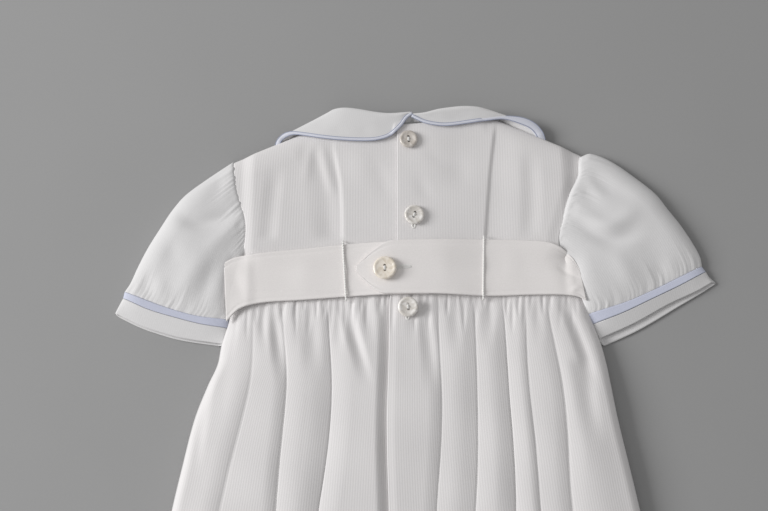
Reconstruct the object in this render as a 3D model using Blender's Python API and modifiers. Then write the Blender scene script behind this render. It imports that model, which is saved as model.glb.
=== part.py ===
# Baby romper laid flat on its front, back side up.
# X runs to the right as it lies, Y runs up to the collar, Z is up from the table.
# The origin is on the table under the middle of the waist. Tables are in millimetres.

import math
from collections import namedtuple

import bmesh
import bpy
import numpy as np
from mathutils import Vector

MM = 0.001

# Cloth and seams
CLOTH = 1.2             # wall of the ribbed cotton, with its turnings
COLLAR_CLOTH = 1.0      # wall of the finer collar cotton
SEAM = 0.3              # gap between pieces that are sewn together
LAYER = CLOTH + SEAM + 0.1   # from the middle of one cloth to the middle of the cloth on it

# Heights of the layers above the table, at the middle of the cloth
FRONT_Z = CLOTH / 2
COLLAR_RAISE = 1.9      # the front bodice lies on the front of the collar
BODICE_RISE = 3.3       # air between back and front bodice
EDGE_ROUND = 14.0       # width of the rounded edge at shoulder and side
SKIRT_EDGE_ROUND = 10.0
LAP_RISE = 1.8          # right back laps over left back
LAP_FADE = (12.0, 26.0)  # where the right back comes down from its lap

# Lengths
WAIST_Y = 3.0
BELT_TOP_Y = 33.0
CROTCH_Y = -292.0
HEM_Y = -330.0
PLACKET_END_Y = -150.0
LEG_GAP = 14.0          # half the gap between the leg hems
NOTCH_TOP_Y = -250.0    # the front's grid closes in on the notch from here down
UNDER_LAP_X = 8.0       # the left back runs on under the right to here

# Buttons
SMALL_BUTTON = 12.0
BELT_BUTTON = 14.0
BUTTON_SIDES = 16
BUTTON_DISH = 1.5       # thickness inside the raised rim
BUTTON_RIM = 2.2
HOLE_RADIUS = 0.9
HOLE_SPACING = 2.8

# Trim
PIPING_RADIUS = 0.8
PIPING_OFF = PIPING_RADIUS + SEAM + 0.5   # from the collar's edge to the middle of its piping
LOOP_RADIUS = 0.6
LOOP_OVERRUN = 2.6      # a belt loop is sewn down this far above and below the belt
CORNER_CLEAR = 1.9      # past the shoulder seams by this much the collar turns round them
COLLAR_BACK_Z = 4.6     # the collar lies on the back above this, and under the front below it
COLLAR_AIR = 0.15       # air under the collar, past the seam gap
BELT_AIR = 0.2          # air under the belt, past the seam gap

# Left back under the lap, and right back along it: share of the height that is pressed away
UNDER_LAP_PRESS = 0.72
LAP_PRESS = 0.25
FOLD_SOFTENING = 0.55   # share of a long fold that fades out towards the hem

# Grids: rows of points down each panel, and columns
COLLAR_COLUMNS = 26
SLEEVE_COLUMNS = 24
SLEEVE_TOP_SHARE = 0.66   # share of the columns round a sleeve that lies on top
BODY_FRONT_COLUMNS = 14
BODICE_FRONT_COLUMNS = 34
BODICE_FRONT_SHARES = (0.0, 0.14, 0.24, 0.34, 0.46, 0.58, 0.72, 0.86, 1.0)
BODY_ROWS = [WAIST_Y - SEAM, -2.0, -7.0, -13.0, -21.0, -34.0, -55.0, -85.0, -118.0, -155.0,
             -205.0, -255.0, CROTCH_Y, -299.0, -312.0, HEM_Y]
BODY_FRONT_ROWS = [WAIST_Y - SEAM, -13.0, -34.0, -55.0, -85.0, -118.0, -155.0, -205.0, -255.0,
                   CROTCH_Y, -299.0, -312.0, HEM_Y]

WHITE = (0.86, 0.86, 0.84, 1.0)
CREAM = (0.85, 0.82, 0.77, 1.0)
BLUE = (0.45, 0.50, 0.64, 1.0)
PEARL = (0.72, 0.68, 0.58, 1.0)
AMBER_PEARL = (0.74, 0.64, 0.46, 1.0)

# Outline of the body below the waist: height, left edge, right edge
Side = namedtuple("Side", "y left right")
BODY_SIDES = [
    Side(3.0, -105.0, 101.5),
    Side(-12.5, -105.8, 107.6),
    Side(-29.0, -109.7, 113.2),
    Side(-41.0, -111.8, 116.0),
    Side(-53.0, -117.0, 118.0),
    Side(-73.0, -124.2, 121.3),
    Side(-102.0, -130.7, 127.2),
    Side(-126.0, -135.6, 132.0),
    Side(-170.0, -143.0, 140.5),
    Side(-215.0, -148.0, 146.5),
    Side(-260.0, -150.0, 150.0),
    Side(-300.0, -149.0, 149.0),
    Side(HEM_Y, -145.0, 145.0),
]

# Outline of the bodice: armhole down to underarm, then side seam
BODICE_SIDES = [
    Side(88.4, -106.0, 105.3),
    Side(83.3, -105.4, 104.2),
    Side(75.0, -104.9, 103.7),
    Side(64.2, -103.1, 98.8),
    Side(54.1, -99.8, 95.6),
    Side(46.6, -97.4, 93.4),
    Side(36.6, -97.0, 90.2),
    Side(28.5, -98.0, 90.6),
    Side(18.0, -101.5, 95.5),
    Side(3.0, -105.0, 101.5),
]

# Top of the back bodice from armhole to armhole: shoulder, neck, shoulder
Top = namedtuple("Top", "x y")
BACK_TOP = [
    Top(-105.4, 83.3),
    Top(-44.0, 110.5),
    Top(-18.0, 107.5),
    Top(2.0, 107.0),
    Top(22.0, 109.5),
    Top(48.0, 113.5),
    Top(104.8, 88.7),
]
NECK_MIDDLE_X = 2.0
NECK_HALF = 46.0
NECK_LIFT = 0.9         # the folded shoulder edge dies away this fast under the neck
FRONT_NECK_Y = 72.0
FRONT_NECK_DROP = 38.5
FRONT_NECK_POWER = 2.2

# Lap edge of the right back over the left back, and the seam below it
Lap = namedtuple("Lap", "y x")
LAP_EDGE = [
    Lap(110.0, -6.6),
    Lap(30.0, -6.8),
    Lap(0.0, -10.8),
    Lap(-32.0, -11.5),
    Lap(-80.0, -12.7),
    Lap(-126.0, -11.6),
    Lap(PLACKET_END_Y, -10.5),
    Lap(-230.0, -3.0),
    Lap(CROTCH_Y, 0.0),
    Lap(HEM_Y, 0.0),
]

BODICE_LAP_X = LAP_EDGE[0].x

# Folds of the gathered body, each a valley between two crests. x at three heights,
# width of its left and right slope, share of the crest that it takes away,
# and where it starts and ends below the belt.
FOLD_HEIGHTS = (-8.0, -58.0, -126.0)
Fold = namedtuple("Fold", "top middle bottom left right share start end")
LONG = -420.0           # a fold with this end runs down to the hem
LONG_END = -140.0       # the grid follows folds that end below this
COLUMN_PITCH = 2.75     # width of the grid's columns at the waist
FOLDS = [
    Fold(-101.0, -108.0, -118.0, 5.0, 4.0, 0.35, 0.0, -34.0),
    Fold(-112.0, -118.5, -126.0, 5.0, 5.0, 0.35, -42.0, -100.0),
    Fold(-91.2, -93.0, -108.0, 8.0, 7.0, 0.50, 2.0, -145.0),
    Fold(-85.6, -82.0, -80.0, 3.5, 3.5, 0.35, 2.0, -32.0),
    Fold(-80.2, -72.6, -70.0, 4.0, 4.0, 0.40, 2.0, -48.0),
    Fold(-74.6, -71.2, -75.9, 6.0, 3.6, 0.62, 2.0, LONG),
    Fold(-64.5, -62.0, -61.0, 4.0, 4.0, 0.25, 2.0, -30.0),
    Fold(-57.5, -56.0, -56.0, 5.5, 5.5, 0.32, 2.0, -46.0),
    Fold(-47.8, -44.4, -51.5, 9.5, 3.8, 0.82, 2.0, LONG),
    Fold(-41.6, -41.0, -41.0, 3.5, 3.5, 0.35, 2.0, -32.0),
    Fold(-35.6, -24.0, -24.0, 4.5, 4.0, 0.42, 2.0, -50.0),
    Fold(-23.6, -22.0, -22.0, 3.5, 3.5, 0.28, 2.0, -26.0),
    Fold(2.5, 3.0, 3.0, 3.5, 3.5, 0.22, 2.0, -26.0),
    Fold(9.2, 13.5, 14.0, 4.5, 4.0, 0.28, 2.0, -54.0),
    Fold(17.6, 18.8, 15.8, 6.0, 4.2, 0.55, 2.0, LONG),
    Fold(27.5, 27.0, 27.0, 4.5, 4.0, 0.24, 2.0, -34.0),
    Fold(38.4, 40.0, 37.2, 11.5, 4.0, 0.66, 2.0, LONG),
    Fold(46.8, 46.0, 46.0, 3.5, 3.5, 0.26, 2.0, -30.0),
    Fold(55.6, 58.6, 60.2, 9.0, 3.6, 0.80, 2.0, LONG),
    Fold(69.2, 69.8, 74.6, 3.6, 3.0, 0.42, 2.0, LONG),
    Fold(75.6, 77.0, 78.0, 3.5, 3.5, 0.24, 2.0, -28.0),
    Fold(82.4, 89.0, 92.6, 6.0, 3.4, 0.58, 2.0, LONG),
    Fold(94.2, 108.0, 112.0, 4.5, 4.0, 0.38, 2.0, -54.0),
    Fold(96.0, 103.0, 112.0, 7.0, 6.0, 0.28, -38.0, -84.0),
]
# Small gathers at the waist seam, between the folds above
GATHER_PITCH = 6.4
GATHER_WIDTH = 2.9
GATHER_SHARE = 0.34
GATHER_LENGTH = 15.0

# Crest height above the lowest cloth, by distance below the belt and by height
Crest = namedtuple("Crest", "below rise")
CRESTS = [
    Crest(-40.0, 3.3),
    Crest(-1.0, 3.3),
    Crest(5.0, 4.6),
    Crest(14.0, 6.6),
    Crest(34.0, 8.2),
    Crest(70.0, 9.2),
    Crest(125.0, 9.4),
    Crest(200.0, 8.0),
    Crest(290.0, 5.0),
    Crest(332.0, 3.2),
]

# Creases: a soft ridge (+) or trough (-) along three points
Crease = namedtuple("Crease", "x0 y0 x1 y1 x2 y2 width height")
BODICE_CREASES = [
    Crease(-52.7, 94.0, -47.0, 71.8, -40.6, 30.0, 3.0, 0.9),
    Crease(-57.0, 90.0, -51.5, 66.0, -45.5, 42.0, 3.2, -0.7),
    Crease(-46.0, 95.0, -41.5, 72.0, -35.5, 34.0, 3.6, -0.7),
    Crease(50.0, 90.0, 47.5, 62.0, 45.2, 30.0, 2.6, 0.9),
    Crease(55.0, 104.0, 52.6, 76.0, 49.6, 34.0, 2.8, -1.0),
    Crease(75.0, 80.0, 75.5, 60.0, 74.0, 38.0, 6.0, -0.6),
    Crease(-79.0, 72.0, -80.5, 52.0, -82.0, 30.0, 6.0, -0.6),
    Crease(27.0, 92.0, 30.0, 80.0, 34.0, 66.0, 7.0, -0.6),
    Crease(-30.0, 92.0, -29.0, 80.0, -28.0, 66.0, 7.0, 0.4),
]
SLEEVE_CREASES = {
    "left": [
        Crease(-138.0, 52.0, -125.0, 45.5, -104.0, 50.0, 3.6, -2.2),
        Crease(-109.0, 76.5, -113.0, 68.0, -120.0, 59.5, 4.0, -1.8),
        Crease(-108.0, 66.0, -111.0, 63.5, -114.0, 61.0, 5.0, 1.4),
        Crease(-99.5, 47.0, -111.0, 35.0, -121.0, 29.0, 3.2, 1.7),
        Crease(-108.5, 31.0, -115.0, 16.0, -124.5, -6.0, 3.6, -1.9),
        Crease(-120.5, 26.0, -130.0, 10.0, -137.5, -3.0, 4.0, 1.7),
        Crease(-143.0, 34.0, -140.0, 26.0, -142.0, 17.0, 4.0, -1.5),
        Crease(-151.5, 14.0, -155.0, 7.0, -153.0, -2.0, 3.0, -1.5),
        Crease(-147.0, 10.0, -146.5, 4.0, -146.0, -1.0, 3.0, 1.1),
    ],
    "right": [
        Crease(96.5, 56.0, 118.0, 42.5, 138.0, 52.0, 3.6, 2.0),
        Crease(99.5, 46.0, 120.0, 33.5, 138.5, 39.0, 3.8, -2.1),
        Crease(104.0, 67.5, 109.0, 63.0, 115.0, 57.5, 3.6, -1.8),
        Crease(108.0, 77.0, 122.0, 65.0, 137.0, 60.0, 3.6, -1.7),
        Crease(105.5, 74.0, 111.0, 67.5, 117.0, 60.0, 2.8, 1.2),
        Crease(140.0, 36.0, 146.0, 28.0, 151.0, 21.0, 6.0, -1.6),
        Crease(122.0, 26.0, 129.0, 14.0, 136.0, 3.0, 4.0, 1.6),
        Crease(145.0, 19.0, 151.0, 14.0, 157.0, 11.0, 3.6, -1.6),
        Crease(153.5, 21.0, 156.0, 17.0, 157.5, 13.0, 3.0, 1.2),
    ],
}

# Sleeves: outer edge from shoulder to band, inner edge from underarm to band
SLEEVES = {
    "left": {
        "outer": [(-107.0, 83.6), (-122.6, 72.4), (-134.4, 62.9), (-141.9, 53.5), (-148.7, 42.2),
                  (-155.4, 30.4), (-160.9, 18.7), (-165.2, 8.3), (-168.3, 3.3)],
        "inner": [(-98.6, 28.2), (-104.5, 26.4), (-111.0, 22.8), (-112.6, 17.0), (-112.0, 2.0),
                  (-110.0, -13.2)],
        "start": [(-107.0, 83.6), (-105.7, 75.0), (-103.8, 64.2), (-100.5, 54.1), (-98.1, 46.6),
                  (-97.7, 36.6), (-98.6, 28.2)],
        "end": [(-168.3, 3.3), (-154.0, -2.6), (-139.5, -7.8), (-124.0, -11.9), (-110.0, -13.2)],
        "strip": [(-169.0, -0.6), (-153.8, -7.6), (-138.3, -12.4), (-122.0, -16.6), (-110.0, -18.4)],
        "cuff": [(-173.2, -9.6), (-160.4, -16.0), (-151.0, -19.6), (-134.3, -24.4), (-111.2, -27.9)],
        "under_slip": (0.0, -1.2),
    },
    "right": {
        "outer": [(106.2, 88.0), (111.3, 89.6), (123.2, 84.8), (137.9, 74.0), (149.5, 63.9),
                  (156.8, 53.8), (163.6, 44.4), (170.7, 32.6), (174.4, 24.6), (175.2, 18.8)],
        "inner": [(91.4, 31.0), (97.2, 27.0), (103.6, 18.6), (107.0, 6.0), (108.6, -2.0),
                  (109.6, -9.8)],
        "start": [(106.2, 88.0), (105.0, 82.0), (104.4, 74.6), (99.6, 64.2), (96.3, 54.1),
                  (94.0, 46.0), (91.0, 38.0), (91.4, 31.0)],
        "end": [(175.2, 18.8), (160.4, 11.3), (142.6, 2.6), (128.6, -3.4), (109.6, -9.8)],
        "strip": [(177.4, 15.6), (161.2, 6.9), (143.6, -1.6), (126.4, -9.8), (111.6, -15.6)],
        "cuff": [(180.4, 9.2), (171.8, 4.2), (154.4, -3.9), (133.4, -15.6), (115.2, -24.0)],
        "under_slip": (1.2, -4.6),
    },
}
SLEEVE_EDGE_Z = 2.0     # middle of the folded edges of a sleeve
SLEEVE_PUFF = 4.8       # the puff above those edges, half way down the sleeve
SLEEVE_END_RISE = 3.1   # the same at armhole and band
STRIP_PROUD = 0.35      # the blue insertion stands this much above its neighbours
NO_SLIP = (0.0, 0.0)

# Collar sections from centre back round the shoulder: outer edge, roll and neck seam
Section = namedtuple("Section", "edge_x edge_y edge_z roll_x roll_y roll_z seam_x seam_y seam_z")
COLLAR_BACK = {
    "left": [
        Section(0.6, 110.4, 9.6, 1.6, 112.6, 9.8, 1.4, 108.6, 7.4),
        Section(-3.6, 104.4, 9.4, -2.0, 113.3, 10.4, -2.0, 108.4, 7.4),
        Section(-9.0, 99.2, 9.0, -8.5, 112.7, 10.5, -8.5, 108.4, 7.4),
        Section(-20.0, 97.2, 8.9, -18.0, 113.4, 10.6, -18.0, 108.8, 7.4),
        Section(-37.0, 97.7, 8.9, -30.0, 115.6, 10.6, -30.0, 110.6, 7.2),
        Section(-54.0, 99.8, 8.4, -39.0, 116.5, 10.2, -38.0, 112.0, 6.8),
        Section(-64.5, 101.4, 7.4, -44.6, 116.2, 8.8, -42.6, 112.6, 6.4),
        Section(-73.0, 101.4, 5.8, -47.2, 115.0, 6.8, -45.4, 112.8, 5.2),
        Section(-78.0, 99.2, 3.8, -48.2, 114.2, 4.4, -46.2, 112.4, 4.2),
        Section(-80.4, 97.0, 1.4, -48.4, 113.4, 1.9, -46.6, 112.2, 3.4),
        Section(-80.2, 91.2, 0.5, -47.0, 112.4, 1.0, -45.8, 111.6, 2.7),
    ],
    "right": [
        Section(5.9, 111.0, 9.6, 5.0, 112.4, 9.8, 5.0, 108.8, 7.4),
        Section(10.6, 109.0, 9.5, 10.2, 114.2, 10.6, 10.2, 109.4, 7.4),
        Section(20.0, 107.5, 9.2, 19.0, 116.8, 11.0, 19.0, 110.6, 7.4),
        Section(38.0, 108.6, 9.0, 35.0, 118.3, 11.0, 35.0, 113.2, 7.2),
        Section(56.0, 109.3, 8.4, 44.0, 118.2, 10.4, 43.0, 114.6, 6.8),
        Section(68.5, 109.2, 7.4, 50.0, 117.2, 8.8, 47.6, 115.2, 6.4),
        Section(79.8, 106.7, 6.0, 52.0, 116.4, 6.6, 50.0, 115.4, 5.2),
        Section(86.7, 103.0, 3.3, 52.6, 115.6, 4.2, 50.6, 114.9, 4.2),
        Section(87.5, 101.5, 0.9, 52.6, 115.2, 1.9, 50.6, 114.5, 3.4),
        Section(86.6, 95.3, 0.5, 51.2, 114.6, 1.0, 50.0, 114.2, 2.7),
    ],
}
ROLL_OUT = 3.1          # the collar's roll stands this far out of the front neckline
SEAM_OUT = 1.9
COLLAR_CROWN = 0.9      # height of the soft roll above a straight line
# The rest of the collar, under the front bodice: place on the neckline and outer edge
FrontSection = namedtuple("FrontSection", "neck_x edge_x edge_y")
COLLAR_FRONT = {
    "left": [
        FrontSection(-42.5, -77.5, 82.0),
        FrontSection(-36.0, -72.5, 68.5),
        FrontSection(-26.0, -57.0, 52.5),
        FrontSection(-14.0, -33.0, 40.5),
        FrontSection(-1.2, -3.6, 36.0),
    ],
    "right": [
        FrontSection(46.5, 85.0, 83.5),
        FrontSection(40.0, 77.0, 69.5),
        FrontSection(30.0, 61.5, 53.0),
        FrontSection(18.0, 37.5, 40.5),
        FrontSection(5.2, 7.8, 36.0),
    ],
}

# Belt sections: lower and upper point
Strap = namedtuple("Strap", "low_x low_y high_x high_y")
BELT_LEFT = [
    Strap(-107.9, -14.8, -111.0, 20.2),
    Strap(-99.4, -8.0, -102.8, 23.2),
    Strap(-86.2, -4.3, -89.4, 25.7),
    Strap(-63.9, -2.8, -64.3, 28.1),
    Strap(-37.4, -0.8, -39.0, 30.6),
    Strap(-13.0, 0.4, -13.5, 32.2),
    Strap(12.0, 0.6, 12.0, 32.4),
]
BELT_RIGHT = [
    Strap(-30.9, 15.6, -30.9, 17.6),
    Strap(-28.0, 11.2, -27.4, 21.0),
    Strap(-22.4, 5.6, -21.6, 26.4),
    Strap(-15.6, 1.2, -13.4, 31.6),
    Strap(-8.0, 0.6, -6.0, 32.8),
    Strap(20.0, 0.6, 20.0, 33.4),
    Strap(46.0, -0.3, 45.0, 33.7),
    Strap(72.9, 0.5, 74.0, 33.2),
    Strap(89.0, 0.6, 86.4, 31.4),
    Strap(99.4, -0.4, 95.2, 26.4),
    Strap(105.0, -2.8, 101.8, 16.0),
]
BELT_LOOPS = {"left": (-38.8, -36.9), "right": (45.0, 44.2)}   # x at the top and at the bottom

# Buttons: place, tilt about X and Y and turn about Z in degrees
Seat = namedtuple("Seat", "name diameter x y tilt_x tilt_y turn")
SMALL_BUTTONS = [
    Seat("button_neck", SMALL_BUTTON, 0.4, 96.6, 1.0, 2.0, 6.0),
    Seat("button_yoke", SMALL_BUTTON, 3.6, 48.8, -3.0, 4.0, -20.0),
    Seat("button_waist", SMALL_BUTTON, -0.3, -7.8, 3.0, 0.0, 8.0),
]
BELT_SEAT = Seat("button_belt", BELT_BUTTON, -13.8, 15.6, 0.0, -6.0, 4.0)


def smooth(start, end, value):
    # 0 at start, 1 at end, with soft ends
    t = min(1.0, max(0.0, (value - start) / (end - start)))
    return t * t * (3.0 - 2.0 * t)


def mix(a, b, t):
    return a + (b - a) * t


def rounded(distance, width):
    # profile of a folded edge: a quarter circle of this width, from 0 to 1
    t = 1.0 - min(1.0, max(0.0, distance / width))
    return math.sqrt(max(0.0, 1.0 - t * t))


def curve_value(xs, ys, x):
    # smooth curve through table values, with x rising
    if x <= xs[0]:
        return ys[0]
    if x >= xs[-1]:
        return ys[-1]
    i = int(np.searchsorted(xs, x)) - 1
    i = max(0, min(len(xs) - 2, i))
    step = xs[i + 1] - xs[i]
    slope_in = (ys[i + 1] - ys[max(0, i - 1)]) / (xs[i + 1] - xs[max(0, i - 1)])
    slope_out = (ys[min(len(xs) - 1, i + 2)] - ys[i]) / (xs[min(len(xs) - 1, i + 2)] - xs[i])
    t = (x - xs[i]) / step
    a = ys[i] * (1 + 2 * t) * (1 - t) ** 2 + ys[i + 1] * t * t * (3 - 2 * t)
    return a + step * (slope_in * t * (1 - t) ** 2 - slope_out * t * t * (1 - t))


def by_height(rows, y, column):
    # a column of a table whose rows go down in y
    ys = [row.y for row in reversed(rows)]
    values = [getattr(row, column) for row in reversed(rows)]
    return curve_value(ys, values, y)


def along_points(points, t):
    # point at share t of the length of a smooth line through points
    array = np.array(points, float)
    lengths = np.concatenate([[0.0], np.cumsum(np.linalg.norm(np.diff(array, axis=0), axis=1))])
    lengths /= lengths[-1]
    return [curve_value(lengths, array[:, k], t) for k in range(array.shape[1])]


def distance_to(points, x, y):
    # distance to a line through points, and how far along it the nearest place is, 0 to 1
    best, place = 1e9, 0.0
    count = len(points) - 1
    for i in range(count):
        ax, ay = points[i]
        bx, by = points[i + 1]
        dx, dy = bx - ax, by - ay
        t = ((x - ax) * dx + (y - ay) * dy) / (dx * dx + dy * dy)
        t = min(1.0, max(0.0, t))
        gap = math.hypot(x - ax - dx * t, y - ay - dy * t)
        if gap < best:
            best, place = gap, (i + t) / count
    return best, place


def creased(rows, x, y):
    # sum of the soft ridges and troughs at a point
    total = 0.0
    for row in rows:
        line = [(row.x0, row.y0), (row.x1, row.y1), (row.x2, row.y2)]
        gap, place = distance_to(line, x, y)
        taper = 0.35 + 0.65 * math.sin(math.pi * min(1.0, max(0.0, place)))
        total += row.height * taper * math.exp(-(gap / row.width) ** 2)
    return total


def shoulder_distance(x, y):
    # distance inside the shoulder seams, large under the neck
    left = x < NECK_MIDDLE_X
    outer, neck = (BACK_TOP[0], BACK_TOP[1]) if left else (BACK_TOP[-1], BACK_TOP[-2])
    length = math.hypot(outer.x - neck.x, outer.y - neck.y)
    cross = (outer.x - neck.x) * (y - neck.y) - (outer.y - neck.y) * (x - neck.x)
    under_neck = max(0.0, NECK_HALF - abs(x - NECK_MIDDLE_X))
    return (cross if left else -cross) / length + under_neck * NECK_LIFT


def front_z(x, y):
    # middle of the front cloth: flat, and raised where the collar lies under it
    raised = smooth(14.0, 32.0, y) * (1.0 - smooth(92.0, 101.0, abs(x)))
    return FRONT_Z + COLLAR_RAISE * raised


def side_distance(x, y):
    # distance inside the side seams; the armholes are no edge, as the sleeve goes on there
    if y > WAIST_Y:
        inside = min(x - by_height(BODICE_SIDES, y, "left"), by_height(BODICE_SIDES, y, "right") - x)
        return inside + EDGE_ROUND * smooth(22.0, 36.0, y)
    return min(x - by_height(BODY_SIDES, y, "left"), by_height(BODY_SIDES, y, "right") - x)


def bodice_cover(x, y):
    # the back bodice without its creases
    inside = min(side_distance(x, y), shoulder_distance(x, y))
    return front_z(x, y) + LAYER + BODICE_RISE * rounded(inside, EDGE_ROUND)


def bodice_z(x, y):
    inside = min(side_distance(x, y), shoulder_distance(x, y))
    fade = smooth(0.0, EDGE_ROUND, inside) * smooth(BELT_TOP_Y, BELT_TOP_Y + 9.0, y)
    return bodice_cover(x, y) + creased(BODICE_CREASES, x, y) * fade


def belt_edge(x):
    # lower edge of the fastened belt
    rows = BELT_LEFT[:5] + BELT_RIGHT[5:]
    return curve_value([row.low_x for row in rows], [row.low_y for row in rows], x)


def crest_rise(x, y):
    below = belt_edge(x) - y
    return curve_value([row.below for row in CRESTS], [row.rise for row in CRESTS], below)


def fold_x(fold, y):
    # below the last height a fold spreads with the outline
    heights = [-FOLD_HEIGHTS[0], -FOLD_HEIGHTS[1], -FOLD_HEIGHTS[2]]
    x = curve_value(heights, [fold.top, fold.middle, fold.bottom], -y)
    if y < FOLD_HEIGHTS[2]:
        edge = "left" if x < 0 else "right"
        x *= by_height(BODY_SIDES, y, edge) / by_height(BODY_SIDES, FOLD_HEIGHTS[2], edge)
    return x


def valley(offset, left, right):
    t = offset / right if offset > 0 else -offset / left
    return math.cos(min(1.0, t) * math.pi / 2) ** 2


def fold_share(x, y):
    # how much of the crest is left at a point, from 0 to 1
    kept = 1.0
    below = belt_edge(x) - y
    for fold in FOLDS:
        grown = 1.0 - smooth(fold.start - 6.0, fold.start + 2.0, y) if fold.start < 0 else 1.0
        ended = smooth(fold.end, fold.end + 16.0, y)
        softened = 1.0 - FOLD_SOFTENING * (1.0 - smooth(-300.0, -140.0, y))
        share = fold.share * grown * ended * softened
        if share > 0.0:
            kept *= 1.0 - share * valley(x - fold_x(fold, y), fold.left, fold.right)
    fade = 1.0 - smooth(GATHER_LENGTH * 0.4, GATHER_LENGTH * 1.5, below)
    if fade > 0.0:
        place = (x + 1.6 * math.sin(x * 0.23)) / GATHER_PITCH
        offset = (place - math.floor(place) - 0.5) * GATHER_PITCH
        kept *= 1.0 - GATHER_SHARE * fade * valley(offset, GATHER_WIDTH, GATHER_WIDTH)
    return kept


def lap_x(y):
    return by_height(LAP_EDGE, y, "x")


def body_back_z(x, y, part):
    # the gathered back below the waist; part is left or right of the lap
    height = crest_rise(x, y) * fold_share(x, y)
    lapped = smooth(PLACKET_END_Y - 28.0, PLACKET_END_Y - 6.0, y)
    edge = lap_x(y)
    if part == "left":
        height *= 1.0 - UNDER_LAP_PRESS * lapped * smooth(edge - 8.5, edge - 1.5, x)
    else:
        height *= 1.0 - LAP_PRESS * lapped * (1.0 - smooth(edge, edge + 5.0, x))
    inside = side_distance(x, y)
    z = FRONT_Z + LAYER + height * rounded(inside, SKIRT_EDGE_ROUND)
    if part == "right":
        z += LAP_RISE * lapped * (1.0 - smooth(*LAP_FADE, x))
    return z


def bodice_back_z(x, y, part):
    z = bodice_z(x, y)
    if part == "right":
        z += LAP_RISE * (1.0 - smooth(*LAP_FADE, x))
    return z


def cover_z(x, y):
    # smooth surface that the belt lies on
    lap = smooth(-34.0, -9.0, x) * (1.0 - smooth(*LAP_FADE, x))
    if y > WAIST_Y:
        base = bodice_cover(x, y)
    else:
        rise = crest_rise(x, max(y, belt_edge(x)))
        base = FRONT_Z + LAYER + rise * rounded(side_distance(x, y), EDGE_ROUND)
    return base + LAP_RISE * lap


def lifted(surface, x, y, distance):
    # a point of a surface, moved out along its normal
    step = 0.5
    slope_x = (surface(x + step, y) - surface(x - step, y)) / (2 * step)
    slope_y = (surface(x, y + step) - surface(x, y - step)) / (2 * step)
    normal = Vector((-slope_x, -slope_y, 1.0)).normalized()
    return Vector((x, y, surface(x, y))) + normal * distance


def front_neck_y(x):
    share = min(1.0, abs(x - NECK_MIDDLE_X) / NECK_HALF)
    return FRONT_NECK_Y + FRONT_NECK_DROP * share ** FRONT_NECK_POWER


def back_top_y(x):
    shoulder = np.interp(x, [row.x for row in BACK_TOP], [row.y for row in BACK_TOP])
    if abs(x - NECK_MIDDLE_X) < NECK_HALF:
        neck = BACK_TOP[1:-1]
        return curve_value([row.x for row in neck], [row.y for row in neck], x)
    return float(shoulder)


def front_top_y(x):
    if abs(x - NECK_MIDDLE_X) < NECK_HALF:
        return front_neck_y(x) + mix(0.0, 2.2, smooth(30.0, NECK_HALF, x - NECK_MIDDLE_X))
    return back_top_y(x)


def material(name, colour, roughness):
    made = bpy.data.materials.get(name)
    if made is None:
        made = bpy.data.materials.new(name)
        made.use_nodes = True
        shader = made.node_tree.nodes["Principled BSDF"]
        shader.inputs["Base Color"].default_value = colour
        shader.inputs["Roughness"].default_value = roughness
        shader.inputs["Metallic"].default_value = 0.0
        made.diffuse_color = colour
    return made


def add_object(name, mesh, finish):
    made = bpy.data.objects.new(name, mesh)
    mesh.materials.append(finish)
    parts.objects.link(made)
    return made


def cloth_panel(name, columns, rows, place, finish, thickness=CLOTH, closed=False,
                leave_out=None):
    # a grid whose points are put in place by a function of two shares, then given a wall
    bm = bmesh.new()
    bmesh.ops.create_grid(bm, x_segments=columns, y_segments=rows, size=0.5)
    if leave_out:
        gone = [face for face in bm.faces if leave_out(face.calc_center_median())]
        bmesh.ops.delete(bm, geom=gone, context="FACES")
    for vert in bm.verts:
        vert.co = Vector(place(vert.co.x + 0.5, vert.co.y + 0.5)) * MM
    if closed:
        bmesh.ops.remove_doubles(bm, verts=bm.verts, dist=1e-6)
    mesh = bpy.data.meshes.new(name)
    bm.to_mesh(mesh)
    bm.free()
    mesh.shade_smooth()
    wall = add_object(name, mesh, finish).modifiers.new("wall", "SOLIDIFY")
    wall.thickness = thickness * MM
    wall.offset = 0.0


def row_height(rows, v):
    # value of a list of grid rows at share v of the rows
    return float(np.interp(v * (len(rows) - 1), range(len(rows)), rows))


def bodice_panels(finish):
    tip = {"left": BACK_TOP[0], "right": BACK_TOP[-1]}

    def back(part, inner):
        def place(u, v):
            side = mix(WAIST_Y, tip[part].y, v)
            x = mix(inner, by_height(BODICE_SIDES, side, part), u)
            top_x = mix(inner, by_height(BODICE_SIDES, tip[part].y, part), u)
            y = mix(WAIST_Y, back_top_y(top_x), v)
            return x, y, bodice_back_z(x, y, part)
        cloth_panel("bodice_back_" + part, 18, 9, place, finish)

    def front(u, share):
        v = row_height(BODICE_FRONT_SHARES, share)
        left = by_height(BODICE_SIDES, mix(WAIST_Y, tip["left"].y, v), "left")
        right = by_height(BODICE_SIDES, mix(WAIST_Y, tip["right"].y, v), "right")
        top_left = by_height(BODICE_SIDES, tip["left"].y, "left")
        top_right = by_height(BODICE_SIDES, tip["right"].y, "right")
        x = mix(left, right, u)
        y = mix(WAIST_Y, front_top_y(mix(top_left, top_right, u)), v)
        return x, y, front_z(x, y)

    back("left", UNDER_LAP_X)
    back("right", BODICE_LAP_X)
    cloth_panel("bodice_front", BODICE_FRONT_COLUMNS, len(BODICE_FRONT_SHARES) - 1, front, finish)


def leg_edge(y):
    # half the gap between the legs
    if y >= CROTCH_Y:
        return 0.0
    share = (y - HEM_Y) / (CROTCH_Y - HEM_Y)
    return LEG_GAP * math.sqrt(max(0.0, 1.0 - share * share))


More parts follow.
